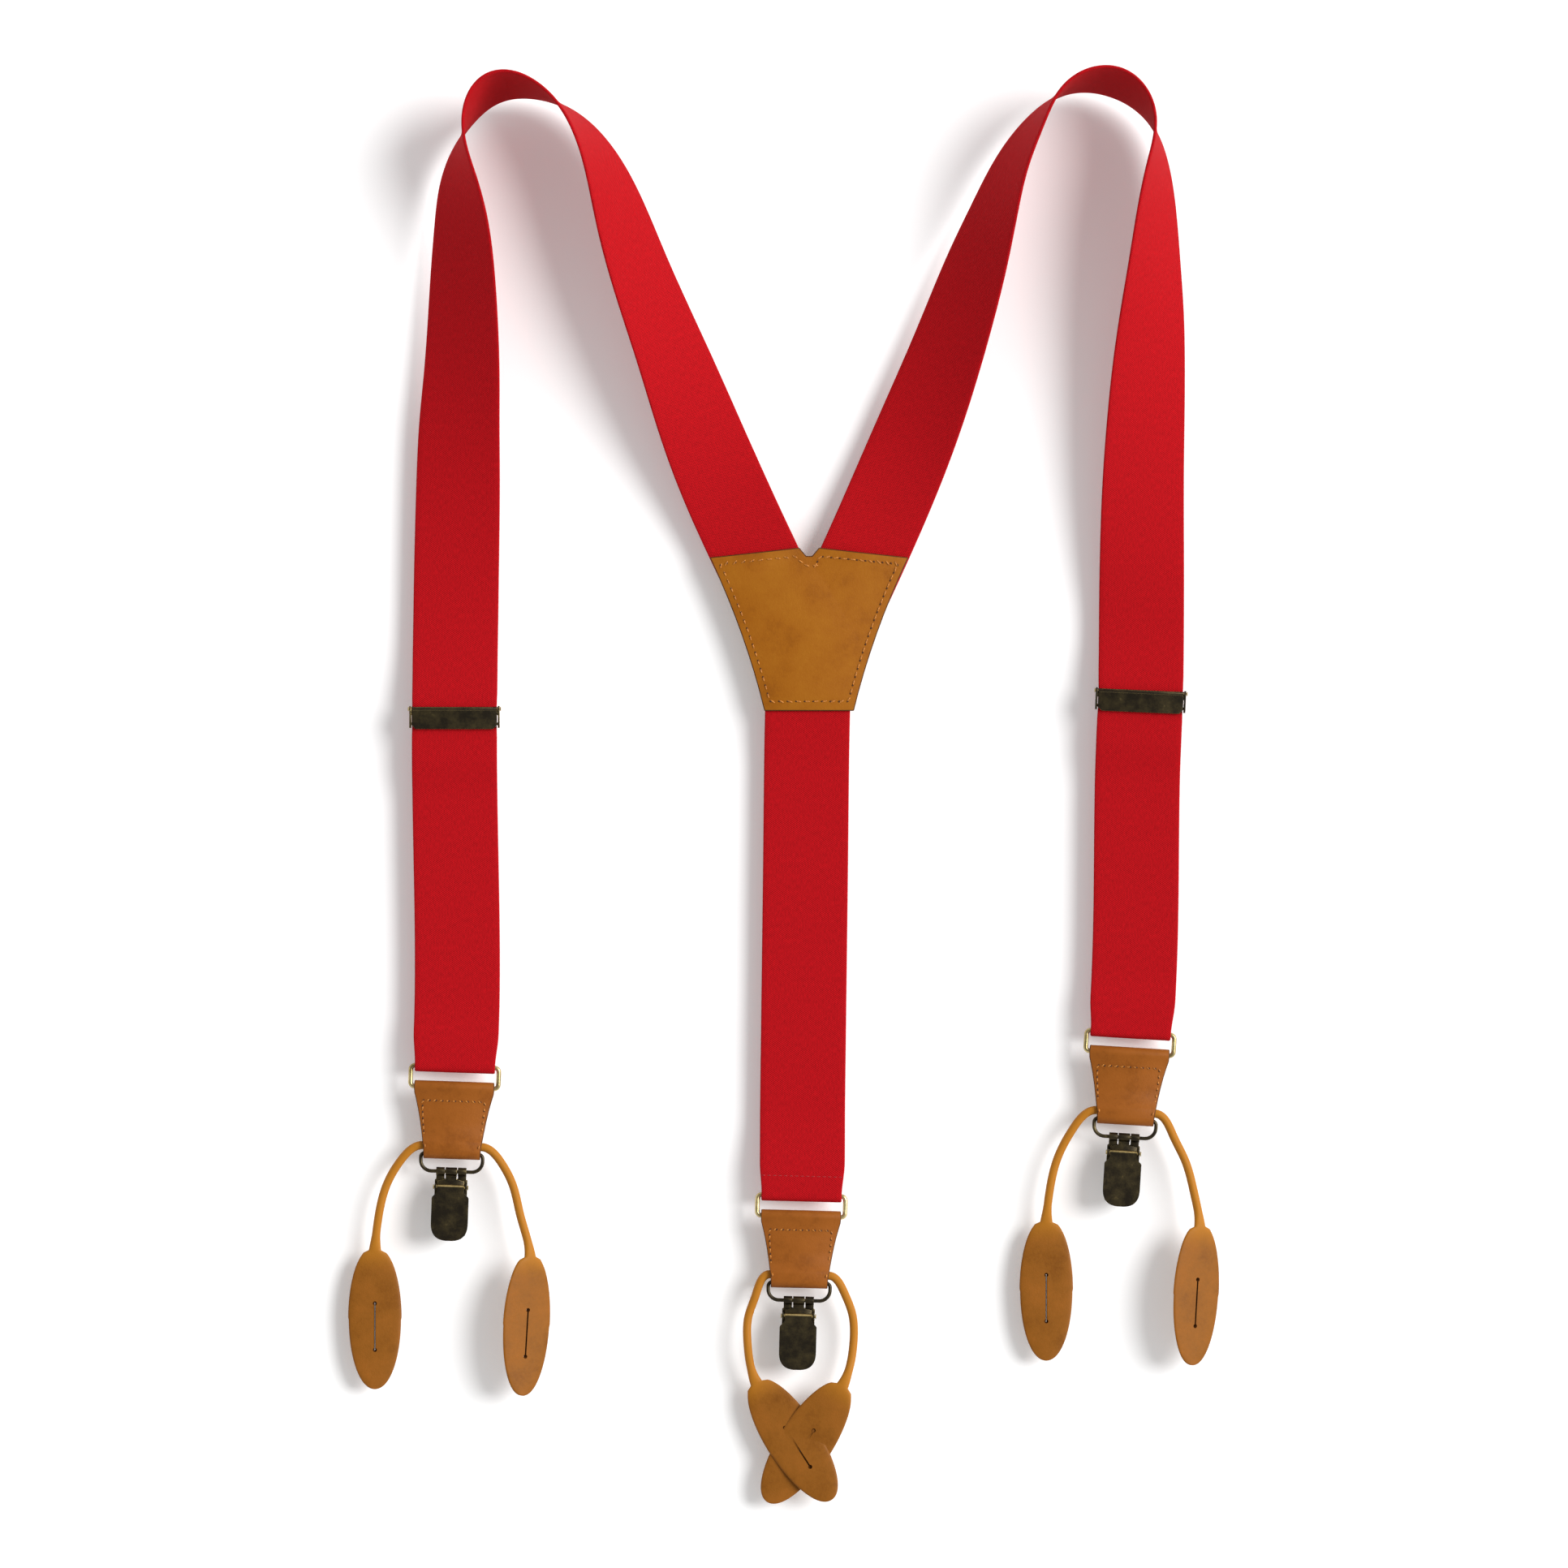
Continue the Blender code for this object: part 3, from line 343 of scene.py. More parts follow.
RIGHT_ROUTE = [
    (9.0, 3.0, 0, PATCH_LIFT), (17.5, 21, 0, PATCH_LIFT), (25.5, 38.5, 0, PATCH_LIFT),
    (41.5, 76, 12, 0), (56, 114, 30, 0), (69, 152.5, 46, 0), (75.5, 172, 57, 0),
    (82.5, 191, 67, 0), (92.5, 209, 78, 0), (106, 223, 95, 0), (126, 225, 107, 0),
    (140, 211, 94, 0), (142.8, 191, 74, 0), (142.3, 170.5, 61, 0), (141.5, 150, 51, 0),
    (140.5, 129.5, 40, 0), (139.3, 109.5, 31, 0), (138.2, 89, 24, 0), (137.3, 68.5, 18, 0),
    (136.8, 48, 12, 0), (136.6, 27.5, 6, 0), (136.5, 10, 1, 0.3), (136.4, -4, 0, 1.4),
    (136.2, -17, 0, 3.6), (136.1, -23, 0, ADJUSTER_LIFT), (136.0, -26.9, 0, ADJUSTER_LIFT),
]
ADJUSTER_NECK, NECK_WIDTH = 34.6, 33.0
ADJUSTERS = {"left": ((-145.5, -34.7), 0.0), "right": ((136.0, -27.8), -2.5)}
ENDS = {"left": ((-145.35, -178.0), -2.0), "right": ((132.0, -164.0), -3.5), "back": ((-3.1, -230.9), -1.5)}
INSIDE_PATCH, HALF_SEAM, SEAM_TO = 12.0, 0.2, 36.0
NECK_ROWS = 6


def shoulder_strap(side, route):
    """Back and front lengths of one strap, parted at the apex of its shoulder loop."""
    rows = smooth([(x, y, 0, roll, lift) for x, y, roll, lift in route], ROW_SPACING)
    sign = 1 if side == "left" else -1
    centres, across, halves = [], [], []
    for (x, y, _, roll, lift), (tx, ty) in zip(rows, directions(rows)):
        turn = math.radians(roll)
        across.append((-ty * math.cos(turn), tx * math.cos(turn), sign * math.sin(turn)))
        height = WEBBING_WIDTH / 2 * abs(math.sin(turn)) + WEBBING_THICKNESS / 2 * abs(math.cos(turn))
        centres.append((x, y, height + TABLE_GAP + max(lift, 0)))
        halves.append(WEBBING_WIDTH / 2)
    for i in range(NECK_ROWS):
        halves[-1 - i] = (ADJUSTER_NECK + (WEBBING_WIDTH - ADJUSTER_NECK) * i / NECK_ROWS) / 2
    apex = max(range(len(rows)), key=lambda i: rows[i][1])
    first = next(i for i in range(len(rows)) if rows[i][1] > INSIDE_PATCH)
    for part, chosen in (("back", slice(first, apex + 1)), ("front", slice(apex, None))):
        strap, length = sweep_strip(f"{side}_shoulder_webbing_{part}", centres[chosen], across[chosen],
                                    halves[chosen], RED_WEBBING, travelled=ROW_SPACING * chosen.start)
        if part == "back":
            for vertex in strap.data.vertices:
                if vertex.co.y < SEAM_TO * MM and sign * vertex.co.x > -HALF_SEAM * MM:
                    vertex.co.x = -sign * HALF_SEAM * MM
            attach(strap, "root")
        else:
            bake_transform(strap)
        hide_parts(f"{side}_strap")


for side, route in (("left", LEFT_ROUTE), ("right", RIGHT_ROUTE)):
    shoulder_strap(side, route)

# %% [markdown]
# ## The doubled front webbing
# Below the adjuster the webbing goes down over the ring's bar, back up behind
# itself and round the adjuster's bar, where it ends in a short hem. Each layer
# eases from the height of one bar to that of the next.

# %% Strap loops
RING_Z, FOLD_RADIUS = 2.6, 1.85
ADJUSTER_BAR_Y, ADJUSTER_BAR_Z, HEM_RADIUS, HEM_LENGTH = -2.6, 2.1, 1.4, 11.5
LAYER_GAP, EASE_LENGTH, DROP_FROM, RISE_FROM = 0.45, 18, 15, 26
NECK_LENGTH, GATHER_LENGTH, STRAIGHT_LENGTH = 8, 14, 20


def eased(value):
    """A smooth step from 0 to 1."""
    value = min(max(value, 0), 1)
    return value * value * (3 - 2 * value)


def layer_height(distance, total):
    """Height of the upper layer by distance from the adjuster."""
    resting = CENTRE_OVER_TABLE + WEBBING_THICKNESS + LAYER_GAP
    over_ring = RING_Z + FOLD_RADIUS
    dropped = eased((distance - DROP_FROM) / EASE_LENGTH)
    risen = eased((distance - (total - RISE_FROM)) / EASE_LENGTH)
    return STRAP_IN_ADJUSTER_Z + (resting - STRAP_IN_ADJUSTER_Z) * dropped + (over_ring - resting) * risen


def narrowed(distance, total):
    """Half-width of the webbing, gathered in the last stretch before the ring."""
    full = ADJUSTER_NECK / 2 + (WEBBING_WIDTH - ADJUSTER_NECK) / 2 * min(distance / NECK_LENGTH, 1)
    return full + (NECK_WIDTH / 2 - full) * eased((distance - (total - GATHER_LENGTH)) / GATHER_LENGTH)


def fold_round(bar, way, z, radius, start, end, steps):
    """Points of webbing folded round a bar."""
    return [(bar[0] + way[0] * radius * math.cos(a), bar[1] + way[1] * radius * math.cos(a),
             z + radius * math.sin(a)) for a in np.radians(np.linspace(start, end, steps))]


def down_of(turn):
    """The unit direction down an end that is turned by some degrees."""
    return np.array((math.sin(math.radians(turn)), -math.cos(math.radians(turn))))


def strap_loop(side):
    """Adjuster, down over the ring's bar, back up, round the adjuster's bar, hem."""
    (centre, tilt), (bar, turn) = ADJUSTERS[side], ENDS[side]
    start_down, down, bar = down_of(tilt), down_of(turn), np.array(bar)
    start = np.array(centre) + 0.2 * start_down
    plan = [start, start + STRAIGHT_LENGTH * start_down, bar - STRAIGHT_LENGTH * down, bar]
    rows = smooth([(x, y, 0) for x, y in plan], ROW_SPACING)
    reach = np.concatenate(([0.0], np.cumsum(np.linalg.norm(np.diff(rows, axis=0), axis=1))))
    total, travel = reach[-1], directions(rows)
    stations = [((x, y, layer_height(s, total)), (-ty, tx, 0), narrowed(s, total))
                for (x, y, _), (tx, ty), s in zip(rows, travel, reach)]
    fold_side = (-down[1], down[0], 0)
    stations += [(p, fold_side, NECK_WIDTH / 2)
                 for p in fold_round(bar, down, RING_Z, FOLD_RADIUS, 75, -75, 13)]
    stations += [((x, y, RING_Z - FOLD_RADIUS), (-ty, tx, 0), narrowed(s, total) - 0.1)
                 for (x, y, _), (tx, ty), s in reversed(list(zip(rows, travel, reach)))
                 if s > 1 - ADJUSTER_BAR_Y]
    hem_bar = np.array(centre) - ADJUSTER_BAR_Y * start_down
    hem_side, hem_half = (-start_down[1], start_down[0], 0), ADJUSTER_NECK / 2 - 0.2
    stations += [(p, hem_side, hem_half)
                 for p in fold_round(hem_bar, -start_down, ADJUSTER_BAR_Z, HEM_RADIUS, -90, 90, 11)]
    hem_end = hem_bar + HEM_LENGTH * start_down
    stations.append(((*hem_end, ADJUSTER_BAR_Z + HEM_RADIUS), hem_side, hem_half))
    centres, across, halves = zip(*stations)
    loop, length = sweep_strip(f"{side}_loop_webbing", centres, across, halves, RED_WEBBING)
    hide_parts(f"{side}_strap_loop")
    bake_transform(loop)


for side in ADJUSTERS:
    strap_loop(side)

# %% [markdown]
# ## The back webbing
# One length runs from the patch to the back ring, folds round it and ends in a
# hem that is sewn under the strap.

# %% Back strap
BACK_GATHER = 8


def back_strap():
    """The single length down the back, folded round its ring with a sewn hem below."""
    bar, turn = ENDS["back"]
    down, flat = down_of(turn), CENTRE_OVER_TABLE
    in_patch = PATCH_LIFT + CENTRE_OVER_TABLE
    bar = np.array(bar)
    rows = smooth([(0, 1.0, in_patch), (-0.3, -18, in_patch), (-0.7, -35, in_patch), (-1.0, -52, flat),
                   (-1.4, -90, flat), (-2.0, -140, flat), (-2.5, -180, flat), (-2.7, -200, flat + 0.4),
                   (*(bar - 10 * down), RING_Z + FOLD_RADIUS), (*bar, RING_Z + FOLD_RADIUS)], ROW_SPACING)
    rows[:, 2] = np.maximum(rows[:, 2], flat)
    reach = np.concatenate(([0.0], np.cumsum(np.linalg.norm(np.diff(rows, axis=0), axis=1))))
    stations = [(tuple(row), (-ty, tx, 0), narrowed(s + BACK_GATHER, reach[-1] + BACK_GATHER))
                for row, (tx, ty), s in zip(rows, directions(rows), reach)]
    side_way = (-down[1], down[0], 0)
    stations += [(p, side_way, NECK_WIDTH / 2)
                 for p in fold_round(bar, down, RING_Z, FOLD_RADIUS, 75, -90, 14)]
    stations.append(((*(bar - 9 * down), RING_Z - FOLD_RADIUS), side_way, NECK_WIDTH / 2))
    centres, across, halves = zip(*stations)
    strap, length = sweep_strip("back_webbing", centres, across, halves, RED_WEBBING)
    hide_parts("back_strap")
    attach(strap, "root")


back_strap()

# %% [markdown]
# ## Leather and metal finishes
# Oiled pull-up leather is mottled where it has bent and darker along its cut
# edges; its grain is a net of pores about half a millimetre across. Antiqued
# brass is plated dark and then tumbled, so it is bright only on its edges. Two
# attributes say where: "edge", on faces, marks cuts, rims and rubbed edges, and
# "rolled", on points, marks leather that is glazed into a cord.

# %% Leather
CUT_EDGE, GLAZE, GLOSS = "#4E2C0E", "#AC6E1B", 0.5


def leather(name, light, mid, dark):
    """Oiled leather: cloudy colour, fine grain, darker cut edges, lighter where it is rolled."""
    material, tree, shader = finish_of(name, GLOSS)
    cloud = noise(tree, 14, 5, 0.6)
    fleck = noise(tree, 1.3, 3, 0.7, seed=2.0)
    mixed = add_node(tree, "ShaderNodeMath", {0: fleck, 1: 0.35, 2: cloud},
                     operation="MULTIPLY_ADD").outputs[0]
    colour = ramp(tree, mixed, [(0.42, linear(dark)), (0.64, linear(mid)), (0.9, linear(light))])
    edge = add_node(tree, "ShaderNodeAttribute", attribute_name="edge").outputs["Fac"]
    edged = add_node(tree, "ShaderNodeMix", {0: edge, 6: colour, 7: linear(CUT_EDGE)}, data_type="RGBA")
    rolled = add_node(tree, "ShaderNodeAttribute", attribute_name="rolled").outputs["Fac"]
    glazed = add_node(tree, "ShaderNodeMix", {0: rolled, 6: edged.outputs[2], 7: linear(GLAZE)},
                      data_type="RGBA")
    tree.links.new(glazed.outputs[2], shader.inputs["Base Color"])
    place = add_node(tree, "ShaderNodeTexCoord").outputs["Object"]
    pores = add_node(tree, "ShaderNodeTexVoronoi", {"Vector": place, "Scale": 1 / (0.55 * MM)},
                     feature="SMOOTH_F1").outputs["Distance"]
    relief = add_node(tree, "ShaderNodeMath", {0: pores, 1: 0.5, 2: fleck},
                      operation="MULTIPLY_ADD").outputs[0]
    bump = add_node(tree, "ShaderNodeBump", {"Height": relief, "Strength": 0.35, "Distance": 0.0002})
    tree.links.new(bump.outputs["Normal"], shader.inputs["Normal"])
    worn = add_node(tree, "ShaderNodeMath", {0: cloud, 1: 0.3, 2: GLOSS - 0.12}, operation="MULTIPLY_ADD")
    tree.links.new(worn.outputs[0], shader.inputs["Roughness"])
    shader.inputs["Specular IOR Level"].default_value = 0.16
    return material


PATCH_LEATHER = leather("patch_pull_up_leather", "#9F610E", "#975809", "#874B06")
TAB_LEATHER = leather("tab_pull_up_leather", "#985619", "#8F5015", "#78400B")
THONG_LEATHER = leather("thong_pull_up_leather", "#925717", "#855012", "#724109")


# %% Brass
def brass(name, dark, worn, bright, spread, roughness):
    """Antiqued brass: dark plating in the hollows, bright metal on edges and rubs."""
    material, tree, shader = finish_of(name, roughness, 1.0)
    rub = noise(tree, 6.0, 7, 0.7)
    scratch = noise(tree, 0.5, 2, 0.5, seed=5.0)
    edge = add_node(tree, "ShaderNodeAttribute", attribute_name="edge").outputs["Fac"]
    wear = add_node(tree, "ShaderNodeMath", {0: edge, 1: 0.55, 2: rub}, operation="MULTIPLY_ADD").outputs[0]
    wear = add_node(tree, "ShaderNodeMath", {0: scratch, 1: 0.15, 2: wear},
                    operation="MULTIPLY_ADD").outputs[0]
    colour = ramp(tree, wear, [(spread - 0.2, linear(dark)), (spread, linear(worn)),
                               (spread + 0.3, linear(bright))])
    tree.links.new(colour, shader.inputs["Base Color"])
    matt = add_node(tree, "ShaderNodeMath", {0: rub, 1: 0.25, 2: roughness - 0.1}, operation="MULTIPLY_ADD")
    tree.links.new(matt.outputs[0], shader.inputs["Roughness"])
    bump = add_node(tree, "ShaderNodeBump", {"Height": rub, "Strength": 0.2, "Distance": 0.0001})
    tree.links.new(bump.outputs["Normal"], shader.inputs["Normal"])
    return material


ANTIQUE = brass("antiqued_brass", "#3A342A", "#554B34", "#CDB478", 0.7, 0.36)
RING_BRASS = brass("worn_antique_brass", "#6E6040", "#A08E5E", "#E4D09A", 0.45, 0.3)

# %% Nylon and thread
NYLON, tree, shader = finish_of("moulded_nylon", 0.45)
shade = ramp(tree, noise(tree, 2.0), [(0.3, linear("#DCD6C4")), (0.7, linear("#EFEBDD"))])
tree.links.new(shade, shader.inputs["Base Color"])


def thread_finish(name, light, dark):
    """Waxed polyester thread: a tight twist seen as fine slanting bands."""
    material, tree, shader = finish_of(name, 0.55)
    place = add_node(tree, "ShaderNodeTexCoord").outputs["Object"]
    twist = add_node(tree, "ShaderNodeTexWave", {"Vector": place, "Scale": 500.0, "Distortion": 1.0},
                     bands_direction="DIAGONAL").outputs["Fac"]
    colour = ramp(tree, twist, [(0.2, linear(dark)), (0.8, linear(light))])
    tree.links.new(colour, shader.inputs["Base Color"])
    return material


TAN_THREAD = thread_finish("tan_waxed_thread", "#C27C28", "#A0601A")
RED_THREAD = thread_finish("red_thread", "#A80F18", "#8E0A12")
# Needle holes are drawn as small dark beads: painted shade for the shadow inside each hole.
PAINTED_HOLE_SHADE, tree, shader = finish_of("painted_shade_needle_hole", 0.9)
shader.inputs["Base Color"].default_value = linear("#4E2A0C")
print("materials ready")

# %% [markdown]
# ## Softening the pressed and cut pieces
# No stamped sheet or cut leather has a knife edge. A copy of each CAD piece is
# welded and its sharp edges are bevelled, and the bevel's faces are marked in
# an attribute, so that the finishes know where metal rubs bright and leather
# shows its darker cut. The mark's layer is made before the bevel, because a new
# layer would make the bevel's list of faces stale.

# %% Softened copies
SHARP = math.radians(34)


def softened(node, body, material, width_mm, segments=2):
    """A rounded copy of a CAD node that stands for it."""
    work = bmesh.new()
    work.from_mesh(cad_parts[node].data)
    flag = work.faces.layers.float.new("edge")
    bmesh.ops.remove_doubles(work, verts=work.verts, dist=2e-6)
    bmesh.ops.dissolve_limit(work, angle_limit=math.radians(1), verts=work.verts, edges=work.edges)
    sharp = [e for e in work.edges if len(e.link_faces) == 2 and e.calc_face_angle(0) > SHARP]
    result = bmesh.ops.bevel(work, geom=sharp, offset=width_mm * MM, offset_type="OFFSET", segments=segments,
                             profile=0.5, affect="EDGES", clamp_overlap=True)
    for face in result["faces"]:
        face[flag] = 1.0
    for face in work.faces:
        face.smooth = True
    bmesh.ops.triangulate(work, faces=[f for f in work.faces if len(f.verts) > 4])
    mesh = bpy.data.meshes.new(f"{node}_finished")
    work.to_mesh(mesh)
    work.free()
    mesh.set_sharp_from_angle(angle=math.radians(40))
    mesh.materials.append(material)
    piece = bpy.data.objects.new(f"{node}_finished", mesh)
    bpy.context.scene.collection.objects.link(piece)
    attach(piece, body)
    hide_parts(node)
    return piece


for layer in ("patch_front", "patch_back"):
    softened(layer, "root", PATCH_LEATHER, 0.4, 3)
for side in ADJUSTERS:
    softened(f"{side}_adjuster_frame", f"{side}_adjuster", ANTIQUE, 0.15)
    softened(f"{side}_adjuster_pin", f"{side}_adjuster", RING_BRASS, 0.15)
    softened(f"{side}_adjuster_lever", f"{side}_adjuster_cover", ANTIQUE, 0.38)
for end in ENDS:
    softened(f"{end}_tab", f"{end}_tab", TAB_LEATHER, 0.3)
    softened(f"{end}_clip_back", f"{end}_clip", ANTIQUE, 0.12)
    softened(f"{end}_clip_pin", f"{end}_clip", RING_BRASS, 0.2)
    softened(f"{end}_clip_jaw", f"{end}_jaw", ANTIQUE, 0.12)
    softened(f"{end}_grip_pad", f"{end}_jaw", NYLON, 0.12)

# %% [markdown]
# ## Drawn wire
# Rings and bails are bent from round wire. A closed curve with a round bevel
# is the plain way to draw wire, and its ends meet with no seam. A bail's lower
# corners are rounder than its upper ones, and a ring's four are alike.

# %% Rings and bails
RING = {"width": 36.1, "height": 8.6, "corner": 1.7, "low": 1.7, "wire": 0.95}
BAIL = {"width": 25.4, "height": 7.4, "corner": 1.8, "low": 4.4, "wire": 0.75}
BAIL_Y, CHANNEL_Z = -35.7, 0.75


def end_place(end, y=0.0, z=0.0):
    """The placing matrix at a point down one end, from the ring's upper bar."""
    bar, turn = ENDS[end]
    return (Matrix.Translation((bar[0] * MM, bar[1] * MM, RING_Z * MM))
            @ Matrix.Rotation(math.radians(turn), 4, "Z") @ Matrix.Translation((0, y * MM, z * MM)))


def wire_loop(name, size, place, material):
    """A rectangular loop of round wire hung from its upper bar."""
    half, corner, low, height = size["width"] / 2, size["corner"], size["low"], size["height"]
    corners = ((half - corner, -corner, corner), (corner - half, -corner, corner),
               (low - half, low - height, low), (half - low, low - height, low))
    curve = bpy.data.curves.new(name, "CURVE")
    curve.dimensions = "3D"
    curve.bevel_depth = size["wire"] * MM
    curve.bevel_resolution = 5
    points = [(cx + radius * math.cos(a), cy + radius * math.sin(a))
              for quarter, (cx, cy, radius) in enumerate(corners)
              for a in np.radians(np.linspace(90 * quarter, 90 * quarter + 90, 9))]
    spline = curve.splines.new("POLY")
    spline.points.add(len(points) - 1)
    for point, (x, y) in zip(spline.points, points):
        point.co = (x * MM, y * MM, 0, 1)
    spline.use_cyclic_u = True
    draft = bpy.data.objects.new("draft", curve)
    bpy.context.scene.collection.objects.link(draft)
    bpy.context.view_layer.update()
    mesh = bpy.data.meshes.new_from_object(draft.evaluated_get(bpy.context.evaluated_depsgraph_get()))
    bpy.data.objects.remove(draft)
    mesh.transform(place)
    mesh.name = name
    mesh.shade_smooth()
    mesh.materials.clear()
    mesh.materials.append(material)
    wire = bpy.data.objects.new(name, mesh)
    bpy.context.scene.collection.objects.link(wire)
    return wire


for end in ENDS:
    for part, size, place, material, slot in (
            ("ring", RING, end_place(end), RING_BRASS, "ring_brass"),
            ("bail", BAIL, end_place(end, BAIL_Y, CHANNEL_Z), ANTIQUE, "antique_brass")):
        wire = wire_loop(f"{end}_{part}_wire", size, place, material)
        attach(wire, f"{end}_{part}")
        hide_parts(f"{end}_{part}")

# %% [markdown]
# ## Clip covers
# The real cover is pressed from sheet brass, with a flat rim, a low crown and
# its top rolled round the pin. This one has no crown: it is a flat plate of the
# sheet's thickness in the cover's outline, with two sleeves round the pin.

# %% Clip covers
CLIP_Y, CLIP_PIN_Y, CLIP_PIN_Z, CLIP_SHEET = -43.1, -6.4, 1.9, 0.75
LEVER_END_Y, COVER_Z, LEVER_HALF, LEVER_NECK = -28.4, 2.7, 7.6, 5.5
SHOULDER_Y, SHOULDER_LENGTH, ROUND_FROM_Y, END_POWER = CLIP_PIN_Y - 1.9, 2.6, -20.6, 0.75
SLEEVE_LENGTH, SLEEVE_RADIUS, SLEEVE_SIDES, SLEEVE_RUB = 5.55, 1.1, 28, 0.6


def cover_outline():
    """The cover's edge: a neck at the pin, shoulders, straight sides and a rounded end."""
    side = [(LEVER_NECK, CLIP_PIN_Y + 0.2), (LEVER_NECK, SHOULDER_Y)]
    side += [(LEVER_NECK + (LEVER_HALF - LEVER_NECK) * eased(t), SHOULDER_Y - SHOULDER_LENGTH * t)
             for t in np.linspace(0.2, 1, 6)]
    side += [(LEVER_HALF, y) for y in (-14, -17.5, ROUND_FROM_Y)]
    side += [(LEVER_HALF * math.cos(a) ** END_POWER,
              ROUND_FROM_Y + (LEVER_END_Y - ROUND_FROM_Y) * math.sin(a) ** END_POWER)
             for a in np.radians(np.arange(7, 88, 7))]
    return side + [(-x, y) for x, y in reversed(side)]


def clip_cover(end):
    """The flat cover and its sleeves, as one finished piece."""
    work = bmesh.new()
    flag = work.faces.layers.float.new("edge")
    face = work.faces.new([work.verts.new((x, y, COVER_Z)) for x, y in cover_outline()])
    face.normal_update()
    if face.normal.z < 0:
        face.normal_flip()
    bmesh.ops.solidify(work, geom=work.faces[:], thickness=-CLIP_SHEET)
    for x in (-SLEEVE_LENGTH / 2, SLEEVE_LENGTH / 2):
        sleeve = bmesh.ops.create_cone(work, cap_ends=True, segments=SLEEVE_SIDES, radius1=SLEEVE_RADIUS,
                                       radius2=SLEEVE_RADIUS, depth=SLEEVE_LENGTH,
                                       matrix=Matrix.Translation((x, CLIP_PIN_Y, CLIP_PIN_Z))
                                       @ Matrix.Rotation(math.radians(90), 4, "Y"))
        for face in {f for v in sleeve["verts"] for f in v.link_faces}:
            face[flag] = SLEEVE_RUB
    bmesh.ops.triangulate(work, faces=[f for f in work.faces if len(f.verts) > 4])
    bmesh.ops.recalc_face_normals(work, faces=work.faces)
    work.transform(end_place(end, CLIP_Y, CHANNEL_Z) @ Matrix.Scale(MM, 4))
    for face in work.faces:
        face.smooth = True
    mesh = bpy.data.meshes.new(f"{end}_cover")
    work.to_mesh(mesh)
    work.free()
    mesh.set_sharp_from_angle(angle=math.radians(50))
    mesh.materials.append(ANTIQUE)
    cover = bpy.data.objects.new(f"{end}_cover", mesh)
    bpy.context.scene.collection.objects.link(cover)
    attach(cover, f"{end}_clip_cover")
    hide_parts(f"{end}_clip_lever")


for end in ENDS:
    clip_cover(end)

# %% [markdown]
# ## Button thongs
# One piece of leather: the middle is rolled and glazed into a cord and each end
# is left flat as a long oval with a buttonhole. Each half is swept by itself, and
# both start out of sight inside the tab. The sweep's section starts round and
# spreads into the oval. Its frames are carried back from the oval, each turned
# only as far as the line bends, so that the cord isn't pinched by a sudden twist.
# The slits are cut afterwards.

# %% Thongs
CORD_RADIUS, OVAL_LENGTH, OVAL_WIDTH, OVAL_THICKNESS = 1.7, 58.0, 21.5, 1.6
SLIT_LENGTH, SLIT_WIDTH, SLIT_OFFSET, EYE_RADIUS = 21.0, 0.75, 3.3, 0.95
CORD_ON_TABLE, THONG_Y, STRAIGHT_HALF = CORD_RADIUS + TABLE_GAP, -32.7, 12.9
THONGS = {
    "left": [
        {"cord": [(-168, -217, 2.6), (-174, -228, CORD_ON_TABLE), (-177, -241, CORD_ON_TABLE)],
         "oval": (-178.3, -281.5, 0.85), "turn": 0, "roll": 0, "pitch": 0},
        {"cord": [(-126, -218, 3.0), (-121.5, -227, 3.4), (-118.5, -239, 4.6)],
         "oval": (-116.0, -284.0, 6.1), "turn": -3.4, "roll": 30, "pitch": 0},
    ],
    "right": [
        {"cord": [(108, -204, 2.6), (101.5, -217, CORD_ON_TABLE), (98.6, -230, CORD_ON_TABLE)],
         "oval": (97.4, -269.8, 0.85), "turn": 0, "roll": 0, "pitch": 0},
        {"cord": [(149.5, -206.5, 3.0), (154.5, -217, 3.4), (158, -230, 4.6)],
         "oval": (158.7, -271.5, 6.1), "turn": -3.3, "roll": 30, "pitch": 0},
    ],
    "back": [
        {"cord": [(-22, -272, 2.8), (-25, -281, 2.2), (-25.3, -291, 3.2)],
         "oval": (-6.5, -331.5, 2.7), "turn": 33, "roll": 0, "pitch": -3.6},
        {"cord": [(14.5, -271, 2.8), (17.8, -280, 2.2), (18.3, -290, CORD_ON_TABLE)],
         "oval": (-1.5, -332.5, 2.7), "turn": -33, "roll": 0, "pitch": 3.6},
    ],
}
AROUND = 28
HIDDEN_START, CORD_SPACING_ALONG = 2.0, 1.0
OVAL_TOP, ENTRY_INSET, TIP_LENGTH, MIN_HALF = OVAL_LENGTH / 2, 2.0, 4.0, 0.25
SPREAD_LEAD, SPREAD_ROWS, FLATTEN_ROWS = 9, 15, 16
LEAF_POWER, BLEND_POWER, FLARE, BLUNT = 0.47, 2.4, 0.9, 0.45


def oval_place(half):
    """The matrix that lays an oval, its long axis along local Y, in millimetres."""
    return (Matrix.Translation(half["oval"]) @ Matrix.Rotation(math.radians(half["turn"]), 4, "Z")
            @ Matrix.Rotation(math.radians(half["roll"]), 4, "Y")
            @ Matrix.Rotation(math.radians(half["pitch"]), 4, "X"))


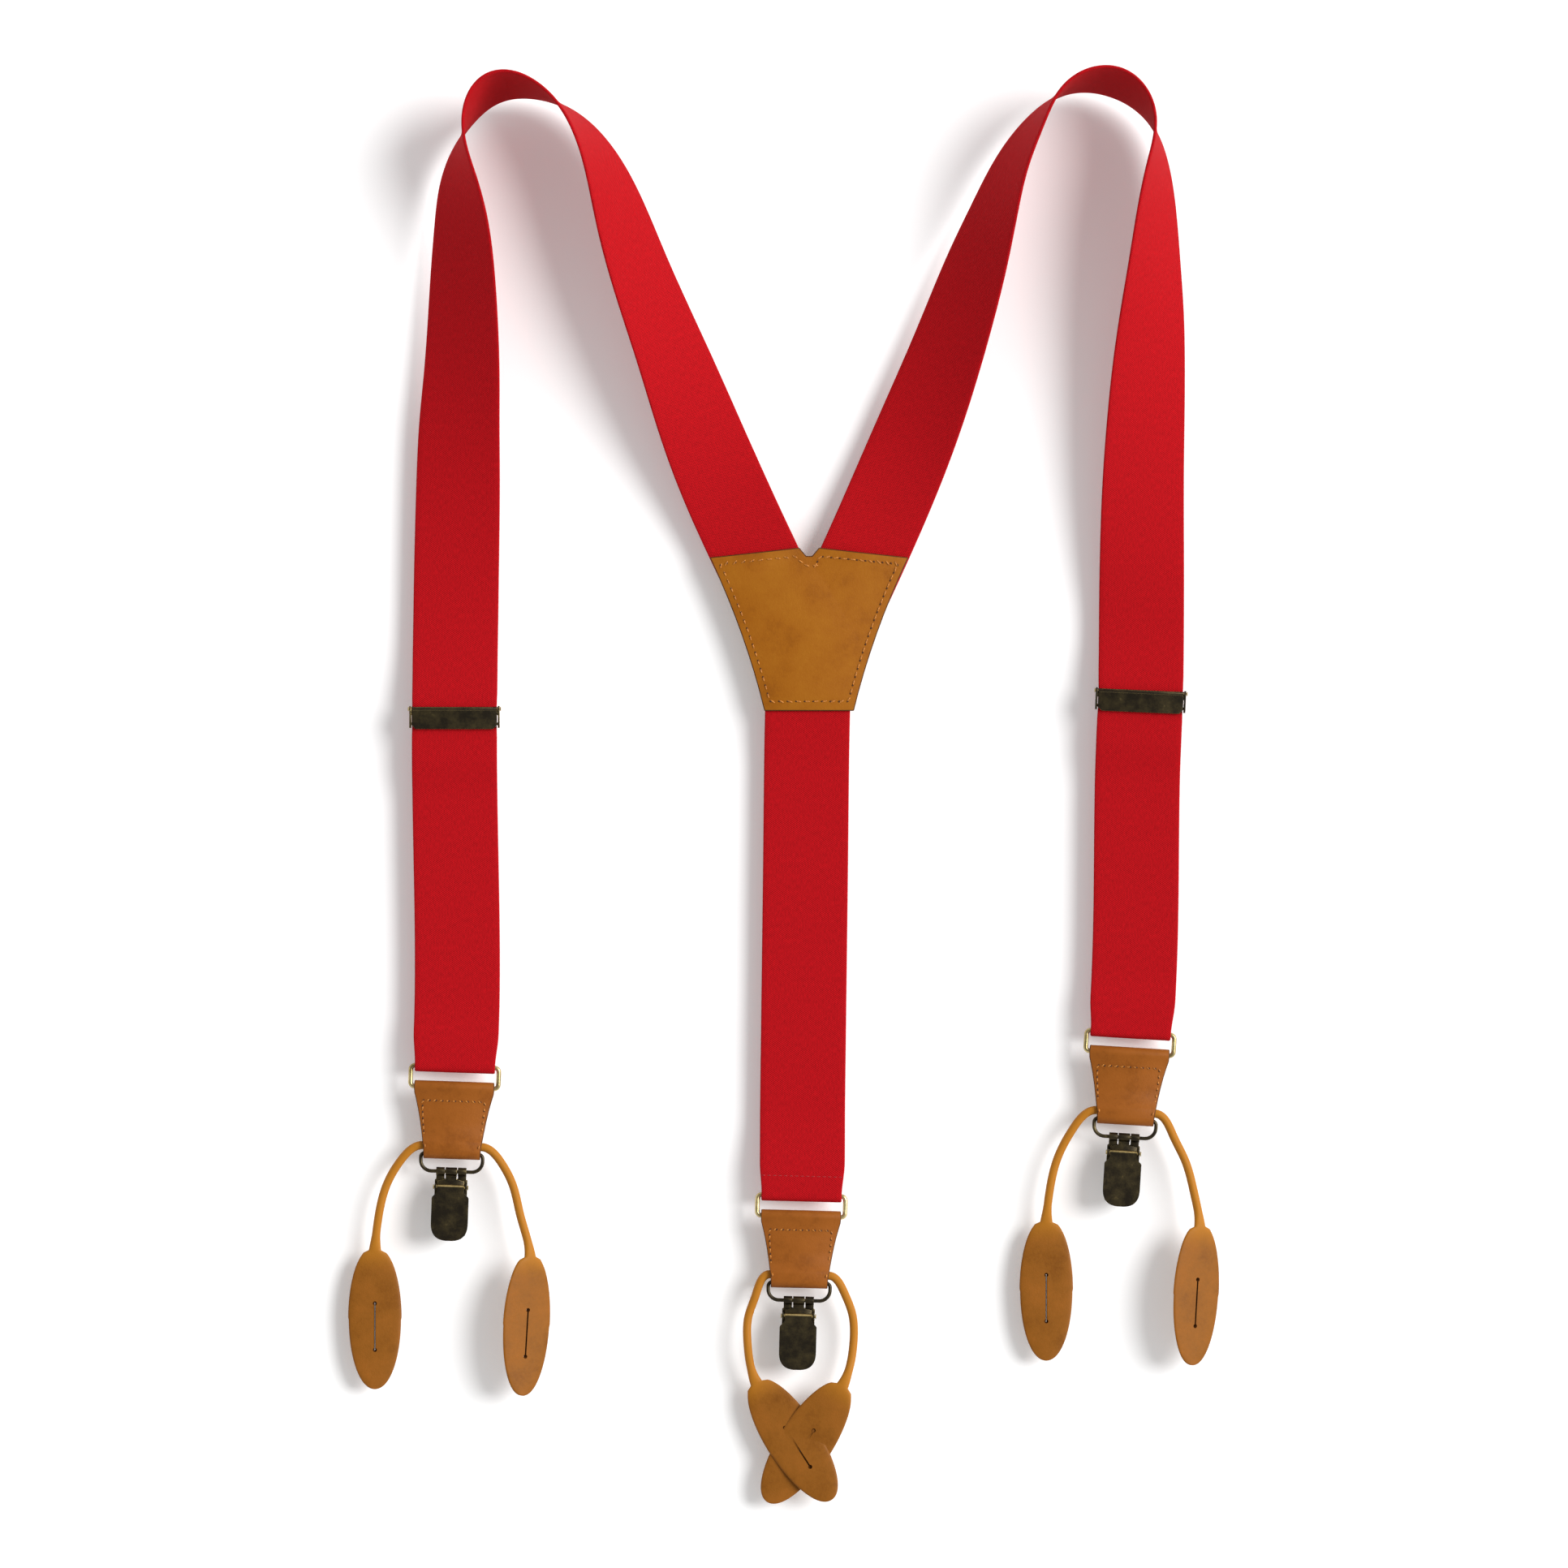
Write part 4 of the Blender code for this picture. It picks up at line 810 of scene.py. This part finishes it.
def thong_rows(end, half, sign, place):
    """Points from inside the tab to the oval's tip, each with its place along the oval, if on it."""
    channel = end_place(end, THONG_Y, CHANNEL_Z)
    start = [tuple((channel @ Vector((sign * x * MM, 0, 0))) / MM)
             for x in np.linspace(HIDDEN_START, STRAIGHT_HALF, 4)]
    down = [tuple(place @ Vector((0, OVAL_TOP - inset, 0))) for inset in (ENTRY_INSET, 8, 16, 26)]
    cord = smooth([*start, *half["cord"], *down], CORD_SPACING_ALONG)
    entry = int(np.argmin(np.linalg.norm(cord - np.array(down[0]), axis=1)))
    straight = np.linspace(OVAL_TOP - ENTRY_INSET, -OVAL_TOP + TIP_LENGTH, 50)
    tip = -OVAL_TOP + TIP_LENGTH * (1 - np.sin(np.radians(np.arange(9, 91, 9))))
    rows = [(point, None) for point in cord[:entry]]
    rows += [(np.array(place @ Vector((0, y, 0))), y) for y in np.concatenate((straight, tip))]
    return rows, entry


def carried_frames(rows, side_way):
    """Travel and across directions at each row, carried back from the oval's own."""
    travel = np.gradient(np.array([point for point, _ in rows]), axis=0)
    travel /= np.linalg.norm(travel, axis=1)[:, None]
    across = [side_way] * len(rows)
    for i in range(len(rows) - 2, -1, -1):
        turned = across[i + 1] - travel[i] * np.dot(across[i + 1], travel[i])
        across[i] = turned / np.linalg.norm(turned)
    return travel, across


def half_thong(name, end, half, sign):
    """One half of a thong, from inside its tab's channel to the oval's tip."""
    place = oval_place(half)
    rows, entry = thong_rows(end, half, sign, place)
    travel, frames = carried_frames(rows, np.array(place.to_3x3() @ Vector((1, 0, 0))))
    work = bmesh.new()
    rings = []
    for i, ((point, y), along, across) in enumerate(zip(rows, travel, frames)):
        past = i - (entry - SPREAD_LEAD)
        spread = eased(past / SPREAD_ROWS)
        up = np.cross(across, along)
        up /= np.linalg.norm(up)
        leaf = 0.0 if y is None else OVAL_WIDTH / 2 * max(1 - (y / OVAL_TOP) ** 2, 0) ** LEAF_POWER
        neck = CORD_RADIUS * (1 + FLARE * spread) * (1.0 if y is None or y > 0 else 0.0)
        wide = max((leaf ** BLEND_POWER + neck ** BLEND_POWER) ** (1 / BLEND_POWER), MIN_HALF)
        thick = CORD_RADIUS + (OVAL_THICKNESS / 2 - CORD_RADIUS) * eased(past / FLATTEN_ROWS)
        blunt = 1 - BLUNT * spread
        ring = []
        for angle in np.linspace(0, 2 * math.pi, AROUND, endpoint=False):
            c, s = math.cos(angle), math.sin(angle)
            ring.append(work.verts.new((point + across * wide * math.copysign(abs(c) ** 0.9, c)
                                        + up * thick * math.copysign(abs(s) ** blunt, s)) * MM))
        rings.append(ring)
    for first, second in zip(rings, rings[1:]):
        for k in range(AROUND):
            n = (k + 1) % AROUND
            work.faces.new((first[k], first[n], second[n], second[k]))
    work.faces.new(rings[0][::-1])
    work.faces.new(rings[-1])
    bmesh.ops.recalc_face_normals(work, faces=work.faces)
    mesh = bpy.data.meshes.new(name)
    work.to_mesh(mesh)
    work.free()
    body = bpy.data.objects.new(name, mesh)
    bpy.context.scene.collection.objects.link(body)
    return body, place


SLIT_DEPTH, SLIT_CLOSED, EYE_CLOSED = 1.0, 0.03, 0.06


def buttonhole(place):
    """Wedges for the slit and its two punched ends, closing towards the underside."""
    work = bmesh.new()
    reach = SLIT_LENGTH / 2 - EYE_RADIUS
    bmesh.ops.create_cube(work, size=1.0, matrix=Matrix.Translation((0, -SLIT_OFFSET, 0))
                          @ Matrix.Diagonal((SLIT_WIDTH, 2 * reach, 2 * SLIT_DEPTH, 1)))
    for vertex in work.verts:
        if vertex.co.z < 0:
            vertex.co.x *= SLIT_CLOSED
    mesh = bpy.data.meshes.new("slit")
    work.to_mesh(mesh)
    work.free()
    cutters = [bpy.data.objects.new("slit", mesh)]
    for y in (reach, -reach):
        work = bmesh.new()
        bmesh.ops.create_cone(work, cap_ends=True, segments=20, radius1=EYE_CLOSED * EYE_RADIUS,
                              radius2=EYE_RADIUS, depth=2 * SLIT_DEPTH,
                              matrix=Matrix.Translation((0, y - SLIT_OFFSET, 0)))
        mesh = bpy.data.meshes.new("eye")
        work.to_mesh(mesh)
        work.free()
        cutters.append(bpy.data.objects.new("eye", mesh))
    for cutter in cutters:
        cutter.data.transform(Matrix.Scale(MM, 4) @ place)
        bpy.context.scene.collection.objects.link(cutter)
    return cutters


def cut(body, cutters):
    """Cut the body and leave a plain mesh."""
    for cutter in cutters:
        step = body.modifiers.new("cut", "BOOLEAN")
        step.object, step.operation, step.solver = cutter, "DIFFERENCE", "EXACT"
    bpy.context.view_layer.update()
    mesh = bpy.data.meshes.new_from_object(body.evaluated_get(bpy.context.evaluated_depsgraph_get()))
    body.modifiers.clear()
    body.data = mesh
    for cutter in cutters:
        bpy.data.objects.remove(cutter)


# %% Marks on the thongs
GLAZED_FROM, GLAZED_OVER, TOP_FACE_Z = 18, 14, 0.9


def mark_thong(body, place):
    """Attributes for the glazed cord and for the cut faces inside the slit."""
    to_oval = (Matrix.Scale(MM, 4) @ place).inverted()
    turned = to_oval.to_3x3()
    rolled = body.data.attributes.new("rolled", "FLOAT", "POINT")
    rolled.data.foreach_set("value", [eased(((to_oval @ v.co).y - GLAZED_FROM) / GLAZED_OVER)
                                      for v in body.data.vertices])
    cuts = []
    for face in body.data.polygons:
        local = to_oval @ face.center
        in_slit = abs(local.x) < EYE_RADIUS and abs(local.y + SLIT_OFFSET) < SLIT_LENGTH / 2
        upright = abs((turned @ face.normal).normalized().z) < TOP_FACE_Z
        cuts.append(1.0 if in_slit and upright else 0.0)
    edge = body.data.attributes.new("edge", "FLOAT", "FACE")
    edge.data.foreach_set("value", cuts)


for end, halves in THONGS.items():
    for side, sign, half in (("outer", -1, halves[0]), ("inner", 1, halves[1])):
        body, place = half_thong(f"{end}_thong_{side}", end, half, sign)
        cut(body, buttonhole(place))
        body.data.materials.clear()
        body.data.materials.append(THONG_LEATHER)
        body.data.shade_smooth()
        mark_thong(body, place)
        body.data.set_sharp_from_angle(angle=math.radians(55))
        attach(body, f"{end}_thong")
        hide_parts(f"{end}_thong")
        print(body.name, len(body.data.polygons), "faces")

# %% [markdown]
# ## Stitching
# A row of stitches repeats along a line, which is what Geometry Nodes are for.
# The tree walks the line in steps of one stitch, sets a small rounded thread at
# each step along the line's own direction, and makes the copies real.

# %% Stitch tree
def stitch_tree():
    """Copies of one rounded stitch along a curve, with its pitch and size as inputs."""
    tree = bpy.data.node_groups.new("stitches", "GeometryNodeTree")
    for name, kind in (("Line", "NodeSocketGeometry"), ("Pitch", "NodeSocketFloat"),
                       ("Length", "NodeSocketFloat"), ("Thread", "NodeSocketFloat"),
                       ("Finish", "NodeSocketMaterial")):
        tree.interface.new_socket(name, in_out="INPUT", socket_type=kind)
    tree.interface.new_socket("Stitches", in_out="OUTPUT", socket_type="NodeSocketGeometry")
    given = add_node(tree, "NodeGroupInput").outputs
    steps = add_node(tree, "GeometryNodeCurveToPoints", {"Curve": given["Line"], "Length": given["Pitch"]},
                     mode="LENGTH")
    bead = add_node(tree, "GeometryNodeMeshUVSphere", {"Segments": 8, "Rings": 6, "Radius": 1.0})
    size = add_node(tree, "ShaderNodeCombineXYZ", {"X": given["Thread"], "Y": given["Thread"],
                                                   "Z": given["Length"]})
    copies = add_node(tree, "GeometryNodeInstanceOnPoints",
                      {"Points": steps.outputs["Points"], "Instance": bead.outputs["Mesh"],
                       "Rotation": steps.outputs["Rotation"], "Scale": size.outputs["Vector"]})
    real = add_node(tree, "GeometryNodeRealizeInstances", {"Geometry": copies.outputs["Instances"]})
    painted = add_node(tree, "GeometryNodeSetMaterial", {"Geometry": real.outputs["Geometry"],
                                                         "Material": given["Finish"]})
    add_node(tree, "NodeGroupOutput", {"Stitches": painted.outputs["Geometry"]})
    return tree


STITCHES = stitch_tree()


def stitch_row(name, points_mm, body, material, pitch, length, thread, place=Matrix()):
    """A row of stitches along points in millimetres, riding on a body."""
    curve = bpy.data.curves.new(name, "CURVE")
    curve.dimensions = "3D"
    spline = curve.splines.new("POLY")
    spline.points.add(len(points_mm) - 1)
    for point, co in zip(spline.points, points_mm):
        point.co = (*(place @ (Vector(co) * MM)), 1)
    draft = bpy.data.objects.new("draft", curve)
    bpy.context.scene.collection.objects.link(draft)
    sewn = draft.modifiers.new("stitches", "NODES")
    sewn.node_group = STITCHES
    values = {"Pitch": pitch * MM, "Length": length * MM, "Thread": thread * MM, "Finish": material}
    for socket in STITCHES.interface.items_tree:
        if socket.name in values:
            sewn[socket.identifier] = values[socket.name]
    bpy.context.view_layer.update()
    mesh = bpy.data.meshes.new_from_object(draft.evaluated_get(bpy.context.evaluated_depsgraph_get()))
    bpy.data.objects.remove(draft)
    mesh.name = name
    mesh.shade_smooth()
    row = bpy.data.objects.new(name, mesh)
    bpy.context.scene.collection.objects.link(row)
    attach(row, body)


THREAD_RADIUS, HOLE_RADIUS, HOLE_HALF = 0.34, 0.33, 0.5  # millimetres, as every size here


def sewn_line(name, points_mm, body, pitch, length, place=Matrix()):
    """A row of stitches with a dark bead between each two: painted shade that stands for the needle hole."""
    first, step = Vector(points_mm[0]), Vector(points_mm[1]) - Vector(points_mm[0])
    shifted = first + step.normalized() * min(pitch / 2, step.length * 0.9)
    stitch_row(f"{name}_stitching", points_mm, body, TAN_THREAD, pitch, length, THREAD_RADIUS, place)
    stitch_row(f"{name}_needle_holes", [tuple(shifted), *points_mm[1:]], body, PAINTED_HOLE_SHADE, pitch, HOLE_HALF,
               HOLE_RADIUS, place)


# %% Patch stitching
PATCH_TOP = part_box("patch_front")[1].z / MM
PATCH_HALF, PATCH_TAPER, PATCH_WAIST = 40.8, 22.4, 1.8
PATCH_SHOULDER_Y, PATCH_FOOT_Y, PATCH_DROP = 31.0, -32.0, 63.0
STITCH_INSET, FOOT_INSET, STITCH_LIFT = 2.9, 3.9, 0.05
side_line = [(PATCH_HALF - PATCH_TAPER * t - 4 * PATCH_WAIST * t * (1 - t) - STITCH_INSET * 1.1,
              PATCH_SHOULDER_Y - PATCH_DROP * t) for t in np.linspace(0, 1, 12)]
side_line = [(x, y) for x, y in side_line if PATCH_FOOT_Y + FOOT_INSET < y < PATCH_SHOULDER_Y - STITCH_INSET]
half_line = ([(2.6, 30.6 - STITCH_INSET), (4.6, 34.0 - STITCH_INSET * 0.9), (36.6, 31.2 - STITCH_INSET)]
             + side_line + [(15.9, -28.1)])
outline = half_line + [(-x, y) for x, y in reversed(half_line)] + [half_line[0]]
sewn_line("patch", [(x, y, PATCH_TOP + STITCH_LIFT) for x, y in outline], "root", pitch=3.5,
          length=1.2)

# %% Tab stitching
TAB_Y, TAB_TOP, TAB_INSET = -8.6, 1.42, 0.93
CHANNEL_FROM, CHANNEL_RUN, CHANNEL_RISE = -19.0, 4.5, 2.75
TAB_ROWS = [(-11.9, -24), (-12.7, -19), (-13.3, -13.5), (-13.6, -9.5), (-13.7, -5.6),
            (13.7, -5.6), (13.6, -9.5), (13.3, -13.5), (12.7, -19), (11.9, -24)]
for end in ENDS:
    line = [(x * TAB_INSET, y, TAB_TOP + CHANNEL_RISE * eased((CHANNEL_FROM - y) / CHANNEL_RUN))
            for x, y in TAB_ROWS]
    sewn_line(f"{end}_tab", line, f"{end}_tab", pitch=2.6, length=0.8,
              place=end_place(end, TAB_Y))

# %% Hem stitching
HEM_HALF, HEM_Y, HEM_TOP = 15.8, 8.0, 2.55
stitch_row("back_hem_stitching", [(-HEM_HALF, HEM_Y, HEM_TOP), (HEM_HALF, HEM_Y, HEM_TOP)], "root",
           RED_THREAD, pitch=2.2, length=0.8, thread=0.24, place=end_place("back"))
